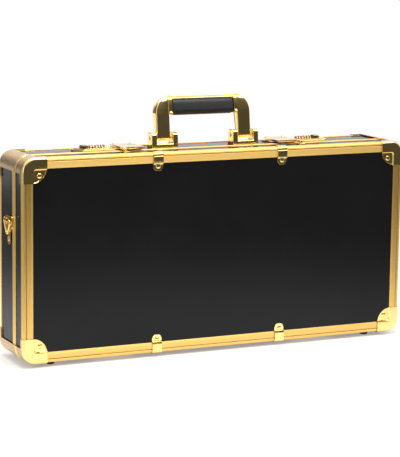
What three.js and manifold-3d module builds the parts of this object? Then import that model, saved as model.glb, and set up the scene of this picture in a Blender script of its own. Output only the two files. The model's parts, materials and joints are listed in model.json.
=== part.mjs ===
// A hard-sided poker chip case: a thin lid and a deep base in black board with gold aluminium edge
// trims, pressed corner plates, clips, two combination locks, a folding bow handle and strap rings.
// Millimetres. The case stands on its long hinge side: +X along its length, +Y to its back, +Z up.
// The origin is on the surface it stands on, under the middle of its bounding box.

import * as THREE from 'three';
import { mergeVertices } from 'three/addons/utils/BufferGeometryUtils.js';
import Module from 'manifold-3d';

const wasm = await Module();
wasm.setup();

// ---- driving dimensions ----------------------------------------------------------------------

const CASE_LENGTH = 560;
const CASE_HEIGHT = 268;
const LID_DEPTH = 25.5;
const PARTING_GAP = 1;
const BASE_DEPTH = 63.5;
const FOOT_HEIGHT = 6;
const CORNER_RADIUS = 18;
const CLEARANCE = 0.3;

const WALL_THICKNESS = 5;
const PANEL_THICKNESS = 4;
const RECESS = 1.5; // how far the black boards lie below the trims' outer surfaces
const TRIM_THICKNESS = 1.2;
const TRIM_FACE_WIDTH = 14;
const TRIM_SIDE_WIDTH = 8;
const MOUTH_TRIM_WIDTH = 13.5;
const PLATE_THICKNESS = 1;

const CORNER_LEG = 33;
const CORNER_WRAP = 20;
const GUSSET_CENTRE = 13;
const GUSSET_RADIUS = 20;

const CLIP_X = 91.5;
const CLIP_WIDTH = 14;
const CLIP_DROP = 25;

const FOOT_RADIUS = 6;
const FOOT_X = 236;
const FOOT_INSET = { lid: 19, base: 21 };

const CHIP_ROWS = 6;
const CHIP_RADIUS = 20;
const CHIP_ROW_LENGTH = 170;
const CHIP_ROW_PITCH = 41.2;
const CHIP_BLOCK_X = 183;
const TRAY_THICKNESS = 31;
const TRAY_MARGIN = 1;
const CARD_WELL = { length: 94, width: 66, depth: 22, pitch: 76 };
const DICE_WELL = { size: 20, depth: 14, pitch: 26, count: 5 };
const LINING_THICKNESS = 8;

const HINGE = {
  x: 150,
  halfLength: 30,
  knuckle: 10, // half the length of the lid leaf's knuckle, in the middle of the hinge
  radius: 2.2,
  pin: 1,
  drop: 2.4, // the pin's line below the case's underside
  lift: 0.6, // the leaves' undersides above the pin's line
  gap: 2.8, // the leaves' edges from the pin's line
  arm: 4, // how far a knuckle's arm reaches over its leaf
  baseReach: 14,
  lidReach: 12.5,
};

const FITTINGS_Y = 15; // the line of the locks, along the middle of the base's top wall
const BRACKET = {
  x: 60.25,
  width: 38.5,
  height: 19.5,
  depth: 18,
  cheek: 7.6,
  sill: 4.5,
  lean: 1.5, // how far each face leans in from the foot to the crown
  round: 4,
};
const HANDLE_Y = 12;
const HANDLE_PIVOT_HEIGHT = 12;
const HANDLE_LEAN = 12; // degrees that the raised handle leans to the back
const HANDLE_PIN_RADIUS = 1.5;
const BOW = {
  width: 140,
  post: 19,
  height: 68.5,
  strip: 5.2,
  radius: 24,
  depth: 14,
  barrel: 4.25,
  shoulder: 30, // above the pivots, where the posts reach their full depth
};
const GRIP = { length: 92, height: 21.2, depth: 16, radius: 4 };

const LOCK = {
  inner: 97,
  outer: 190,
  taper: 10,
  nose: 6, // width of the blunt outer end
  front: -1,
  back: 29,
  height: 5,
  sill: 1.4, // height of the seat under the hasp
};
const LOCK_WELL = { inner: 140, outer: 184, front: 4, back: 26 };
const DIAL = { first: 146, pitch: 8.2, count: 3, radius: 5.5, width: 5.6, centre: 0.5, axle: 1.1, seat: 4 };
const SLIDE = { x: 173, length: 9.2, width: 11, round: 1.5, travel: 4.5, height: 1.2, sunk: 2 };
const HASP = {
  inner: 99,
  outer: 131,
  front: -17,
  pivot: 24,
  heel: 1.6, // plate behind the pivot
  low: 2.2,
  thickness: 2.8,
  hook: 4,
  tip: 2.5,
  bore: 1.1,
  pin: 0.8,
};
const EAR = { inset: 4, width: 3, front: 2, back: 3, above: 0.6, gap: 0.5, swing: 1.3 };
const KEEPER = { inner: 125, outer: 135, front: -31, back: -21, height: 1.4 };

const STRAP_Y = 4;
const STRAP_Z = 189;
const RING = { width: 30, height: 25, wire: 2.6, stand: 4, round: 3 };
const STRAP_PLATE = {
  width: 24,
  above: 5,
  below: 17,
  tail: 33,
  tailWidth: 9,
  thickness: 1.4,
  barrel: 3.3,
  barrelLength: 12,
  bore: 2.2,
};

// ---- derived planes --------------------------------------------------------------------------

const HALF_LENGTH = CASE_LENGTH / 2;
const BOTTOM = FOOT_HEIGHT;
const TOP = FOOT_HEIGHT + CASE_HEIGHT;
const MIDDLE_Z = (BOTTOM + TOP) / 2;
const DEPTH = LID_DEPTH + PARTING_GAP + BASE_DEPTH;
const FRONT = -DEPTH / 2;
const BACK = DEPTH / 2;
const LID_MOUTH = FRONT + LID_DEPTH;
const BASE_MOUTH = BACK - BASE_DEPTH;
const HINGE_Y = (LID_MOUTH + BASE_MOUTH) / 2;
const HINGE_Z = BOTTOM - HINGE.drop;
const WALL_TOP = TOP - RECESS + CLEARANCE; // where a fitting sits on the top wall
const PIVOT_Z = TOP + HANDLE_PIVOT_HEIGHT;
const WALL_INSET = RECESS + WALL_THICKNESS;
const PANEL_BACK = RECESS + PANEL_THICKNESS + CLEARANCE;

// A half's own Y runs from its outer face (0) inwards to its mouth.
const LID = { name: 'lid', face: FRONT, sign: 1, depth: LID_DEPTH };
const BASE = { name: 'base', face: BACK, sign: -1, depth: BASE_DEPTH };

// ---- solids ----------------------------------------------------------------------------------

function bare(geometry) {
  const copy = geometry.clone();
  copy.deleteAttribute('normal');
  copy.deleteAttribute('uv');
  copy.clearGroups();
  return mergeVertices(copy, 1e-4);
}

function solid(geometry) {
  const merged = bare(geometry);
  return new wasm.Manifold(new wasm.Mesh({
    numProp: 3,
    vertProperties: new Float32Array(merged.attributes.position.array),
    triVerts: new Uint32Array(merged.index.array),
  }));
}

function geometryOf(manifold) {
  const mesh = manifold.getMesh();
  const geometry = new THREE.BufferGeometry();
  geometry.setAttribute('position', new THREE.BufferAttribute(new Float32Array(mesh.vertProperties), 3));
  geometry.setIndex(new THREE.BufferAttribute(new Uint32Array(mesh.triVerts), 1));
  return geometry;
}

const join = (first, ...rest) => geometryOf(rest.reduce((all, g) => all.add(solid(g)), solid(first)));
const cut = (first, ...rest) => geometryOf(rest.reduce((all, g) => all.subtract(solid(g)), solid(first)));
const common = (first, second) => geometryOf(solid(first).intersect(solid(second)));

function mirrored(geometry, sx, sy, sz) {
  const copy = bare(geometry);
  copy.scale(sx, sy, sz);
  const order = copy.index.array;
  for (let i = 0; sx * sy * sz < 0 && i < order.length; i += 3) {
    [order[i], order[i + 1]] = [order[i + 1], order[i]];
  }
  return copy;
}

function box(x0, x1, y0, y1, z0, z1) {
  const geometry = new THREE.BoxGeometry(x1 - x0, y1 - y0, z1 - z0);
  return bare(geometry.translate((x0 + x1) / 2, (y0 + y1) / 2, (z0 + z1) / 2));
}

function extruded(shape, depth, curveSegments) {
  return new THREE.ExtrudeGeometry(shape, { depth, bevelEnabled: false, curveSegments });
}

// An (x, z) shape drawn out along Y, from y0 to y1.
function alongY(shape, y0, y1, segments = 6) {
  return bare(extruded(shape, y1 - y0, segments).rotateX(Math.PI / 2).translate(0, y1, 0));
}

// A (y, z) shape drawn out along X, from x0 to x1.
function alongX(shape, x0, x1, segments = 6) {
  const turn = new THREE.Matrix4().makeBasis(
    new THREE.Vector3(0, 1, 0),
    new THREE.Vector3(0, 0, 1),
    new THREE.Vector3(1, 0, 0),
  );
  return bare(extruded(shape, x1 - x0, segments).applyMatrix4(turn).translate(x0, 0, 0));
}

const alongZ = (shape, z0, z1, segments = 6) => bare(extruded(shape, z1 - z0, segments).translate(0, 0, z0));

const polygon = (points) => new THREE.Shape(points.map(([u, v]) => new THREE.Vector2(u, v)));

function rodX(x0, x1, y, z, radius, sides = 16) {
  const rod = new THREE.CylinderGeometry(radius, radius, x1 - x0, sides);
  return bare(rod.rotateZ(Math.PI / 2).translate((x0 + x1) / 2, y, z));
}

function rodY(x, z, y0, y1, radius, sides = 24) {
  return bare(new THREE.CylinderGeometry(radius, radius, y1 - y0, sides).translate(x, (y0 + y1) / 2, z));
}

function rodZ(x, y, z0, z1, radius, sides = 24) {
  const rod = new THREE.CylinderGeometry(radius, radius, z1 - z0, sides);
  return bare(rod.rotateX(Math.PI / 2).translate(x, y, (z0 + z1) / 2));
}

// A rectangle with round corners, u0 to u1 by v0 to v1.
function roundedRectangle(u0, u1, v0, v1, radius, path = new THREE.Shape()) {
  path.moveTo(u0 + radius, v0);
  path.lineTo(u1 - radius, v0);
  path.absarc(u1 - radius, v0 + radius, radius, -Math.PI / 2, 0);
  path.lineTo(u1, v1 - radius);
  path.absarc(u1 - radius, v1 - radius, radius, 0, Math.PI / 2);
  path.lineTo(u0 + radius, v1);
  path.absarc(u0 + radius, v1 - radius, radius, Math.PI / 2, Math.PI);
  path.lineTo(u0, v0 + radius);
  path.absarc(u0 + radius, v0 + radius, radius, Math.PI, 1.5 * Math.PI);
  return path;
}

// The case's outline in the (x, z) plane, moved inwards by inset.
function outline(inset, path) {
  const radius = Math.max(CORNER_RADIUS - inset, 2);
  const u = HALF_LENGTH - inset;
  return roundedRectangle(-u, u, BOTTOM + inset, TOP - inset, radius, path);
}

function outlineRing(outerInset, innerInset, y0, y1) {
  const shape = outline(outerInset);
  shape.holes.push(outline(innerInset, new THREE.Path()));
  return alongY(shape, y0, y1);
}

// Moves a piece from a half's own Y to the case's.
function inHalf(half, geometry) {
  return mirrored(geometry, 1, half.sign, 1).translate(0, half.face, 0);
}

// ---- materials -------------------------------------------------------------------------------

const materials = {
  trim: { color: 0xd9a441, roughness: 0.35, metalness: 1 },
  plate: { color: 0xe8bd5c, roughness: 0.15, metalness: 1 },
  board: { color: 0x17161a, roughness: 0.5, metalness: 0 },
  leather: { color: 0x141414, roughness: 0.6, metalness: 0 },
  rubber: { color: 0x0c0c0c, roughness: 0.8, metalness: 0 },
  velvet: { color: 0x101014, roughness: 0.95, metalness: 0 },
  dial: { color: 0xd8b060, roughness: 0.3, metalness: 1 },
};

const group = new THREE.Group();

function add(name, look, geometry) {
  const mesh = new THREE.Mesh(bare(geometry), new THREE.MeshStandardMaterial(materials[look]));
  mesh.name = name;
  group.add(mesh);
}

const SIDES = [['left', -1], ['right', 1]];
const LEVELS = [['top', 1], ['bottom', -1]];

// Flips a piece drawn in the upper half of the case to the lower half.
const toLevel = (geometry, level) => (level > 0
  ? geometry
  : mirrored(geometry.translate(0, 0, -MIDDLE_Z), 1, 1, -1).translate(0, 0, MIDDLE_Z));

// ---- boards ----------------------------------------------------------------------------------

function facePanel(half) {
  return inHalf(half, alongY(outline(RECESS), RECESS, RECESS + PANEL_THICKNESS));
}

// The part of a wall ring between two mitres, which run out from the corner arcs' centres at 45 degrees.
function wallSector(side) {
  const x = HALF_LENGTH - CORNER_RADIUS;
  const z = CASE_HEIGHT / 2 - CORNER_RADIUS;
  const out = 40;
  const inside = 8;
  const joint = CLEARANCE / 2;
  const across = [
    [-x - out, z + out],
    [x + out, z + out],
    [x - inside, z - inside],
    [inside - x, z - inside],
  ];
  const up = [[x + out, -z - out], [x + out, z + out], [x - inside, z - inside], [x - inside, inside - z]];
  const points = {
    top: across.map(([u, v]) => [u, v + joint]),
    bottom: across.map(([u, v]) => [-u, -v - joint]),
    right: up.map(([u, v]) => [u + joint, v]),
    left: up.map(([u, v]) => [-u - joint, -v]),
  }[side];
  return alongY(polygon(points.map(([u, v]) => [u, v + MIDDLE_Z])), -BASE_DEPTH, 2 * BASE_DEPTH);
}

function wall(half, side, mouthEdge) {
  const ring = outlineRing(RECESS, WALL_INSET, PANEL_BACK, half.depth - mouthEdge);
  return inHalf(half, common(ring, wallSector(side)));
}

// ---- trims -----------------------------------------------------------------------------------

function edgeTrim(half) {
  const side = outlineRing(0, TRIM_THICKNESS, 0, TRIM_SIDE_WIDTH);
  const u = HALF_LENGTH - TRIM_FACE_WIDTH;
  const window = box(-u, u, -1, TRIM_THICKNESS + 1, BOTTOM + TRIM_FACE_WIDTH, TOP - TRIM_FACE_WIDTH);
  const face = cut(alongY(outline(0), 0, TRIM_THICKNESS), window);
  return inHalf(half, join(side, face));
}

function mouthTrim() {
  const mouth = BASE.depth;
  const side = outlineRing(0, TRIM_THICKNESS, mouth - MOUTH_TRIM_WIDTH, mouth);
  const lip = outlineRing(0, WALL_INSET, mouth - TRIM_THICKNESS, mouth);
  return inHalf(BASE, join(side, lip));
}

// ---- corner plates and clips -----------------------------------------------------------------

// The plate of the upper right corner: a shell round the case's corner, with long legs on the edge
// trim, a short wrap on the walls and a round gusset riveted to the panel.
function cornerPlate(half) {
  const outer = CLEARANCE + PLATE_THICKNESS;
  const mouth = half.depth - CLEARANCE;
  const cap = cut(
    alongY(outline(-outer), -outer, mouth),
    alongY(outline(-CLEARANCE), -CLEARANCE, mouth + 1),
  );
  const far = 10;
  const reach = (leg, depth) => box(HALF_LENGTH - leg, HALF_LENGTH + far, -far, depth, TOP - leg, TOP + far);
  const shell = common(cap, join(reach(CORNER_LEG, TRIM_SIDE_WIDTH), reach(CORNER_WRAP, half.depth)));
  const gx = HALF_LENGTH - GUSSET_CENTRE;
  const gz = TOP - GUSSET_CENTRE;
  const step = TRIM_FACE_WIDTH + CLEARANCE;
  const panelSide = box(0, HALF_LENGTH - step, -far, far, 0, TOP - step);
  const window = cut(panelSide, rodY(gx, gz, -2 * far, 2 * far, GUSSET_RADIUS));
  const gusset = common(rodY(gx, gz, -outer, RECESS - CLEARANCE, GUSSET_RADIUS), panelSide);
  return inHalf(half, join(cut(shell, window), gusset));
}

// A clip that holds the edge trim: a strap over its corner, and a round tab riveted to the panel.
function trimClip(x) {
  const outer = CLEARANCE + PLATE_THICKNESS;
  const step = TRIM_FACE_WIDTH + CLEARANCE;
  const section = polygon([
    [TRIM_SIDE_WIDTH, TOP + CLEARANCE],
    [TRIM_SIDE_WIDTH, TOP + outer],
    [-outer, TOP + outer],
    [-outer, TOP - CLIP_DROP],
    [RECESS - CLEARANCE, TOP - CLIP_DROP],
    [RECESS - CLEARANCE, TOP - step],
    [-CLEARANCE, TOP - step],
    [-CLEARANCE, TOP + CLEARANCE],
  ]);
  const half = CLIP_WIDTH / 2;
  const tab = new THREE.Shape();
  tab.moveTo(x + half, TOP + 3);
  tab.lineTo(x - half, TOP + 3);
  tab.lineTo(x - half, TOP - CLIP_DROP + half);
  tab.absarc(x, TOP - CLIP_DROP + half, half, Math.PI, 2 * Math.PI);
  return common(alongX(section, x - half, x + half), alongY(tab, -10, TRIM_SIDE_WIDTH + 1, 10));
}

// ---- hinges ----------------------------------------------------------------------------------

function hingeArm(x0, x1, y0, y1) {
  return box(x0, x1, y0, y1, HINGE_Z + HINGE.lift, BOTTOM - CLEARANCE);
}

function baseHinge(x) {
  const end = HINGE.halfLength;
  const middle = HINGE.knuckle + CLEARANCE;
  const leaf = hingeArm(x - end, x + end, HINGE_Y + HINGE.gap, HINGE_Y + HINGE.baseReach);
  const knuckles = [[x - end, x - middle], [x + middle, x + end]].flatMap(([x0, x1]) => [
    rodX(x0, x1, HINGE_Y, HINGE_Z, HINGE.radius),
    hingeArm(x0, x1, HINGE_Y, HINGE_Y + HINGE.arm),
  ]);
  const pin = rodX(x - end, x + end, HINGE_Y, HINGE_Z, HINGE.pin);
  return join(leaf, ...knuckles, pin);
}

function lidHinge(x) {
  const end = HINGE.halfLength;
  const middle = HINGE.knuckle;
  const wallUnderside = BOTTOM + RECESS - CLEARANCE;
  const low = HINGE_Z + HINGE.lift;
  const leaf = box(x - end, x + end, HINGE_Y - HINGE.lidReach, HINGE_Y - HINGE.gap, low, wallUnderside);
  const arm = hingeArm(x - middle, x + middle, HINGE_Y - HINGE.arm, HINGE_Y);
  const knuckle = rodX(x - middle, x + middle, HINGE_Y, HINGE_Z, HINGE.radius);
  const bore = rodX(x - end, x + end, HINGE_Y, HINGE_Z, HINGE.pin + CLEARANCE);
  return cut(join(leaf, arm, knuckle), bore);
}

// ---- inside ----------------------------------------------------------------------------------

const chipRowZ = (row) => MIDDLE_Z + (row - (CHIP_ROWS - 1) / 2) * CHIP_ROW_PITCH;

function chipTray() {
  const back = BACK - PANEL_BACK;
  const face = back - TRAY_THICKNESS;
  const block = alongY(outline(WALL_INSET + TRAY_MARGIN), face, back, 3);
  const hollows = [];
  for (const [, side] of SIDES) {
    for (let row = 0; row < CHIP_ROWS; row += 1) {
      const x = side * CHIP_BLOCK_X;
      const ends = [x - CHIP_ROW_LENGTH / 2, x + CHIP_ROW_LENGTH / 2];
      hollows.push(rodX(...ends, face, chipRowZ(row), CHIP_RADIUS, 24));
    }
  }
  for (const z of [MIDDLE_Z + CARD_WELL.pitch, MIDDLE_Z]) {
    const shape = roundedRectangle(
      -CARD_WELL.length / 2,
      CARD_WELL.length / 2,
      z - CARD_WELL.width / 2,
      z + CARD_WELL.width / 2,
      5,
    );
    hollows.push(alongY(shape, face - 1, face + CARD_WELL.depth, 3));
  }
  for (let die = 0; die < DICE_WELL.count; die += 1) {
    const x = (die - (DICE_WELL.count - 1) / 2) * DICE_WELL.pitch;
    const z = MIDDLE_Z - CARD_WELL.pitch;
    const half = DICE_WELL.size / 2;
    hollows.push(box(x - half, x + half, face - 1, face + DICE_WELL.depth, z - half, z + half));
  }
  return cut(block, ...hollows);
}

function lidLining() {
  const front = FRONT + PANEL_BACK;
  return alongY(outline(WALL_INSET + TRAY_MARGIN), front, front + LINING_THICKNESS, 3);
}

// ---- handle ----------------------------------------------------------------------------------

function bracket(x) {
  const half = BRACKET.depth / 2;
  const { lean, round } = BRACKET;
  const crown = TOP + BRACKET.height;
  const section = new THREE.Shape();
  section.moveTo(HANDLE_Y - half, WALL_TOP);
  section.lineTo(HANDLE_Y + half, WALL_TOP);
  section.lineTo(HANDLE_Y + half - lean, crown - round);
  section.absarc(HANDLE_Y + half - lean - round, crown - round, round, 0, Math.PI / 2);
  section.absarc(HANDLE_Y - half + lean + round, crown - round, round, Math.PI / 2, Math.PI);
  const block = alongX(section, x - BRACKET.width / 2, x + BRACKET.width / 2, 4);
  const slot = BRACKET.width / 2 - BRACKET.cheek;
  const window = box(x - slot, x + slot, -DEPTH, DEPTH, TOP + BRACKET.sill, crown + 1);
  const bore = rodX(x - BRACKET.width, x + BRACKET.width, HANDLE_Y, PIVOT_Z, HANDLE_PIN_RADIUS + CLEARANCE);
  return cut(block, window, bore);
}

function handlePin(x) {
  const half = BRACKET.width / 2 - 1;
  return rodX(x - half, x + half, HANDLE_Y, PIVOT_Z, HANDLE_PIN_RADIUS);
}

// Tilts an upright shape about the handle's pivot, to the handle's raised place.
function leaned(geometry) {
  const turned = geometry.translate(0, -HANDLE_Y, -PIVOT_Z).rotateX(-THREE.MathUtils.degToRad(HANDLE_LEAN));
  return turned.translate(0, HANDLE_Y, PIVOT_Z);
}

function handleBow() {
  const half = BOW.width / 2;
  const inner = half - BOW.post;
  const crown = TOP + BOW.height;
  const foot = PIVOT_Z - BOW.barrel;
  const face = new THREE.Shape();
  face.moveTo(half, foot);
  face.lineTo(half, crown - BOW.radius);
  face.absarc(half - BOW.radius, crown - BOW.radius, BOW.radius, 0, Math.PI / 2);
  face.absarc(BOW.radius - half, crown - BOW.radius, BOW.radius, Math.PI / 2, Math.PI);
  face.lineTo(-half, foot);
  face.lineTo(-inner, foot);
  face.lineTo(-inner, crown - BOW.strip);
  face.lineTo(inner, crown - BOW.strip);
  face.lineTo(inner, foot);
  const blank = alongY(face, HANDLE_Y - BOW.depth, HANDLE_Y + BOW.depth, 8);
  const shoulder = PIVOT_Z + BOW.shoulder;
  const side = new THREE.Shape();
  side.moveTo(HANDLE_Y + BOW.barrel, PIVOT_Z);
  side.lineTo(HANDLE_Y + BOW.depth / 2, shoulder);
  side.lineTo(HANDLE_Y + BOW.depth / 2, crown + 1);
  side.lineTo(HANDLE_Y - BOW.depth / 2, crown + 1);
  side.lineTo(HANDLE_Y - BOW.depth / 2, shoulder);
  side.lineTo(HANDLE_Y - BOW.barrel, PIVOT_Z);
  side.absarc(HANDLE_Y, PIVOT_Z, BOW.barrel, Math.PI, 2 * Math.PI);
  const bore = rodX(-BOW.width, BOW.width, HANDLE_Y, PIVOT_Z, HANDLE_PIN_RADIUS + CLEARANCE);
  return leaned(cut(common(blank, alongX(side, -half - 1, half + 1, 8)), bore));
}

function handleGrip() {
  const crown = TOP + BOW.height - BOW.strip - CLEARANCE;
  const half = GRIP.depth / 2;
  const section = roundedRectangle(
    HANDLE_Y - half,
    HANDLE_Y + half,
    crown - GRIP.height,
    crown,
    GRIP.radius,
  );
  return leaned(alongX(section, -GRIP.length / 2, GRIP.length / 2, 4));
}

// ---- combination lock, drawn on the right ----------------------------------------------------

const dialX = (index) => DIAL.first + index * DIAL.pitch;

// The two ears that the hasp's pin is held in.
const earXs = () => [HASP.inner + EAR.inset, HASP.outer - EAR.inset];

function lockBody() {
  const crown = TOP + LOCK.height;
  const middle = (LOCK.front + LOCK.back) / 2;
  const plate = polygon([
    [LOCK.inner, LOCK.front],
    [LOCK.outer - LOCK.taper, LOCK.front],
    [LOCK.outer, middle - LOCK.nose / 2],
    [LOCK.outer, middle + LOCK.nose / 2],
    [LOCK.outer - LOCK.taper, LOCK.back],
    [LOCK.inner, LOCK.back],
  ]);
  const well = box(
    LOCK_WELL.inner + CLEARANCE,
    LOCK_WELL.outer - CLEARANCE,
    LOCK_WELL.front + CLEARANCE,
    LOCK_WELL.back - CLEARANCE,
    TOP - WALL_INSET,
    WALL_TOP + 1,
  );
  const seatEnd = HASP.outer + EAR.gap + 1;
  const seat = box(LOCK.inner - 1, seatEnd, LOCK.front - 1, LOCK.back + 1, TOP + LOCK.sill, crown + 1);
  const dials = [...Array(DIAL.count).keys()].map(dialX);
  const slots = dials.map((x) => box(
    x - DIAL.width / 2 - CLEARANCE,
    x + DIAL.width / 2 + CLEARANCE,
    FITTINGS_Y - DIAL.radius - CLEARANCE,
    FITTINGS_Y + DIAL.radius + CLEARANCE,
    TOP + DIAL.centre - DIAL.radius - CLEARANCE,
    crown + 1,
  ));
  const gate = box(
    SLIDE.x - SLIDE.length / 2 - CLEARANCE,
    SLIDE.x + SLIDE.length / 2 + SLIDE.travel + CLEARANCE,
    FITTINGS_Y - SLIDE.width / 2 - CLEARANCE,
    FITTINGS_Y + SLIDE.width / 2 + CLEARANCE,
    crown - SLIDE.sunk,
    crown + 1,
  );
  const axleEnds = [dials[0] - DIAL.seat, dials[DIAL.count - 1] + DIAL.seat];
  const axle = rodX(...axleEnds, FITTINGS_Y, TOP + DIAL.centre, DIAL.axle, 12);
  const ears = earXs().map((x) => box(
    x - EAR.width / 2,
    x + EAR.width / 2,
    HASP.pivot - EAR.front,
    HASP.pivot + EAR.back,
    TOP + 1,
    TOP + HASP.low + HASP.thickness + EAR.above,
  ));
  const pin = rodX(...earXs(), HASP.pivot, TOP + HASP.low + HASP.thickness / 2, HASP.pin, 12);
  const housing = cut(join(alongZ(plate, WALL_TOP, crown), well), seat, ...slots, gate);
  return join(housing, axle, ...ears, pin);
}

function dial(index) {
  const x = dialX(index);
  const half = DIAL.width / 2;
  const z = TOP + DIAL.centre;
  const wheel = rodX(x - half, x + half, FITTINGS_Y, z, DIAL.radius, 20);
  return cut(wheel, rodX(x - DIAL.width, x + DIAL.width, FITTINGS_Y, z, DIAL.axle + CLEARANCE, 12));
}

function thumbSlide() {
  const crown = TOP + LOCK.height;
  const half = SLIDE.length / 2;
  const shape = roundedRectangle(
    SLIDE.x - half,
    SLIDE.x + half,
    FITTINGS_Y - SLIDE.width / 2,
    FITTINGS_Y + SLIDE.width / 2,
    SLIDE.round,
  );
  return alongZ(shape, crown - SLIDE.sunk + CLEARANCE, crown + SLIDE.height, 3);
}

function hasp() {
  const low = TOP + HASP.low;
  const high = low + HASP.thickness;
  const pivotZ = (low + high) / 2;
  const plate = box(HASP.inner, HASP.outer, HASP.front, HASP.pivot + HASP.heel, low, high);
  const hookInner = HASP.outer - HASP.hook;
  const hookFront = KEEPER.front + 2;
  const hook = box(hookInner, HASP.outer, hookFront, HASP.front + 1, low, high);
  const tipLow = TOP + KEEPER.height + CLEARANCE;
  const tip = box(hookInner, HASP.outer, hookFront, hookFront + HASP.tip, tipLow, high);
  const notches = earXs().map((x) => box(
    x - EAR.width / 2 - EAR.gap,
    x + EAR.width / 2 + EAR.gap,
    HASP.pivot - EAR.front - EAR.swing,
    HASP.pivot + EAR.back + EAR.gap,
    low - 1,
    high + 1,
  ));
  const bore = rodX(HASP.inner - 1, HASP.outer + 1, HASP.pivot, pivotZ, HASP.bore, 12);
  return cut(join(plate, hook, tip), ...notches, bore);
}

function keeper() {
  return box(KEEPER.inner, KEEPER.outer, KEEPER.front, KEEPER.back, WALL_TOP, TOP + KEEPER.height);
}

// ---- strap rings, drawn on the right ---------------------------------------------------------

const RING_X = HALF_LENGTH + RING.stand;

function strapPlate() {
  const inner = HALF_LENGTH + CLEARANCE;
  const half = STRAP_PLATE.width / 2;
  const tail = STRAP_PLATE.tailWidth / 2;
  const face = polygon([
    [STRAP_Y - half, STRAP_Z + STRAP_PLATE.above],
    [STRAP_Y - half, STRAP_Z - STRAP_PLATE.below / 2],
    [STRAP_Y - tail, STRAP_Z - STRAP_PLATE.below],
    [STRAP_Y - tail / 2, STRAP_Z - STRAP_PLATE.tail],
    [STRAP_Y + tail / 2, STRAP_Z - STRAP_PLATE.tail],
    [STRAP_Y + tail, STRAP_Z - STRAP_PLATE.below],
    [STRAP_Y + half, STRAP_Z - STRAP_PLATE.below / 2],
    [STRAP_Y + half, STRAP_Z + STRAP_PLATE.above],
  ]);
  const plate = alongX(face, inner, inner + STRAP_PLATE.thickness);
  const wallSide = BASE_MOUTH + MOUTH_TRIM_WIDTH + CLEARANCE;
  const packing = box(
    HALF_LENGTH - RECESS + CLEARANCE,
    inner + CLEARANCE,
    wallSide,
    STRAP_Y + half,
    STRAP_Z - STRAP_PLATE.below / 2,
    STRAP_Z + STRAP_PLATE.above,
  );
  const length = STRAP_PLATE.barrelLength / 2;
  const barrel = rodY(RING_X, STRAP_Z, STRAP_Y - length, STRAP_Y + length, STRAP_PLATE.barrel, 20);
  const bore = rodY(RING_X, STRAP_Z, STRAP_Y - 2 * length, STRAP_Y + 2 * length, STRAP_PLATE.bore, 20);
  return cut(join(plate, packing, barrel), bore);
}

// A triangle with its base on top and round corners, shrunk inwards by inset.
function ringOutline(inset, path = new THREE.Shape()) {
  const wire = RING.wire / 2;
  const round = Math.max(RING.round - inset, 0.6);
  const top = STRAP_Z + wire - inset;
  const half = RING.width / 2 - inset * 1.6;
  const low = STRAP_Z + wire - RING.height + inset * 1.9;
  path.moveTo(STRAP_Y - half + round, top);
  path.quadraticCurveTo(STRAP_Y - half, top, STRAP_Y - half + round * 0.5, top - round);
  path.lineTo(STRAP_Y - round * 0.6, low + round * 0.8);
  path.quadraticCurveTo(STRAP_Y, low, STRAP_Y + round * 0.6, low + round * 0.8);
  path.lineTo(STRAP_Y + half - round * 0.5, top - round);
  path.quadraticCurveTo(STRAP_Y + half, top, STRAP_Y + half - round, top);
  path.closePath();
  return path;
}

function strapRing() {
  const shape = ringOutline(0);
  shape.holes.push(ringOutline(RING.wire, new THREE.Path()));
  return alongX(shape, RING_X - RING.wire / 2, RING_X + RING.wire / 2, 4);
}

// ---- assembly --------------------------------------------------------------------------------

const WALLS = ['top', 'bottom', 'left', 'right'];
const MOUTH_EDGE = { lid: 0, base: TRIM_THICKNESS + CLEARANCE };

for (const half of [LID, BASE]) {
  add(`${half.name}_${half === LID ? 'front' : 'back'}_panel`, 'board', facePanel(half));
  for (const side of WALLS) {
    let board = wall(half, side, MOUTH_EDGE[half.name]);
    if (half === BASE && side === 'top') {
      const hole = box(LOCK_WELL.inner, LOCK_WELL.outer, LOCK_WELL.front, LOCK_WELL.back, 0, TOP + 1);
      board = cut(board, hole, mirrored(hole, -1, 1, 1));
    }
    add(`${half.name}_wall_${side}`, 'board', board);
  }
  add(`${half.name}_edge_trim`, 'trim', edgeTrim(half));
  for (const [level, up] of LEVELS) {
    for (const [side, right] of SIDES) {
      const plate = mirrored(toLevel(cornerPlate(half), up), right, 1, 1);
      add(`${half.name}_corner_${level}_${side}`, 'plate', plate);
    }
  }
  for (const [side, right] of SIDES) {
    const y = half.face + half.sign * FOOT_INSET[half.name];
    const foot = rodZ(right * FOOT_X, y, 0, BOTTOM + RECESS - CLEARANCE, FOOT_RADIUS);
    add(`${half.name}_foot_${side}`, 'rubber', foot);
  }
}

add('base_mouth_trim', 'trim', mouthTrim());

for (const [level, up] of LEVELS) {
  for (const [side, right] of SIDES) {
    add(`lid_clip_${level}_${side}`, 'plate', inHalf(LID, toLevel(trimClip(right * CLIP_X), up)));
  }
}

add('chip_tray', 'velvet', chipTray());
add('lid_lining', 'velvet', lidLining());
add('handle_bow', 'plate', handleBow());
add('handle_grip', 'leather', handleGrip());

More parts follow.
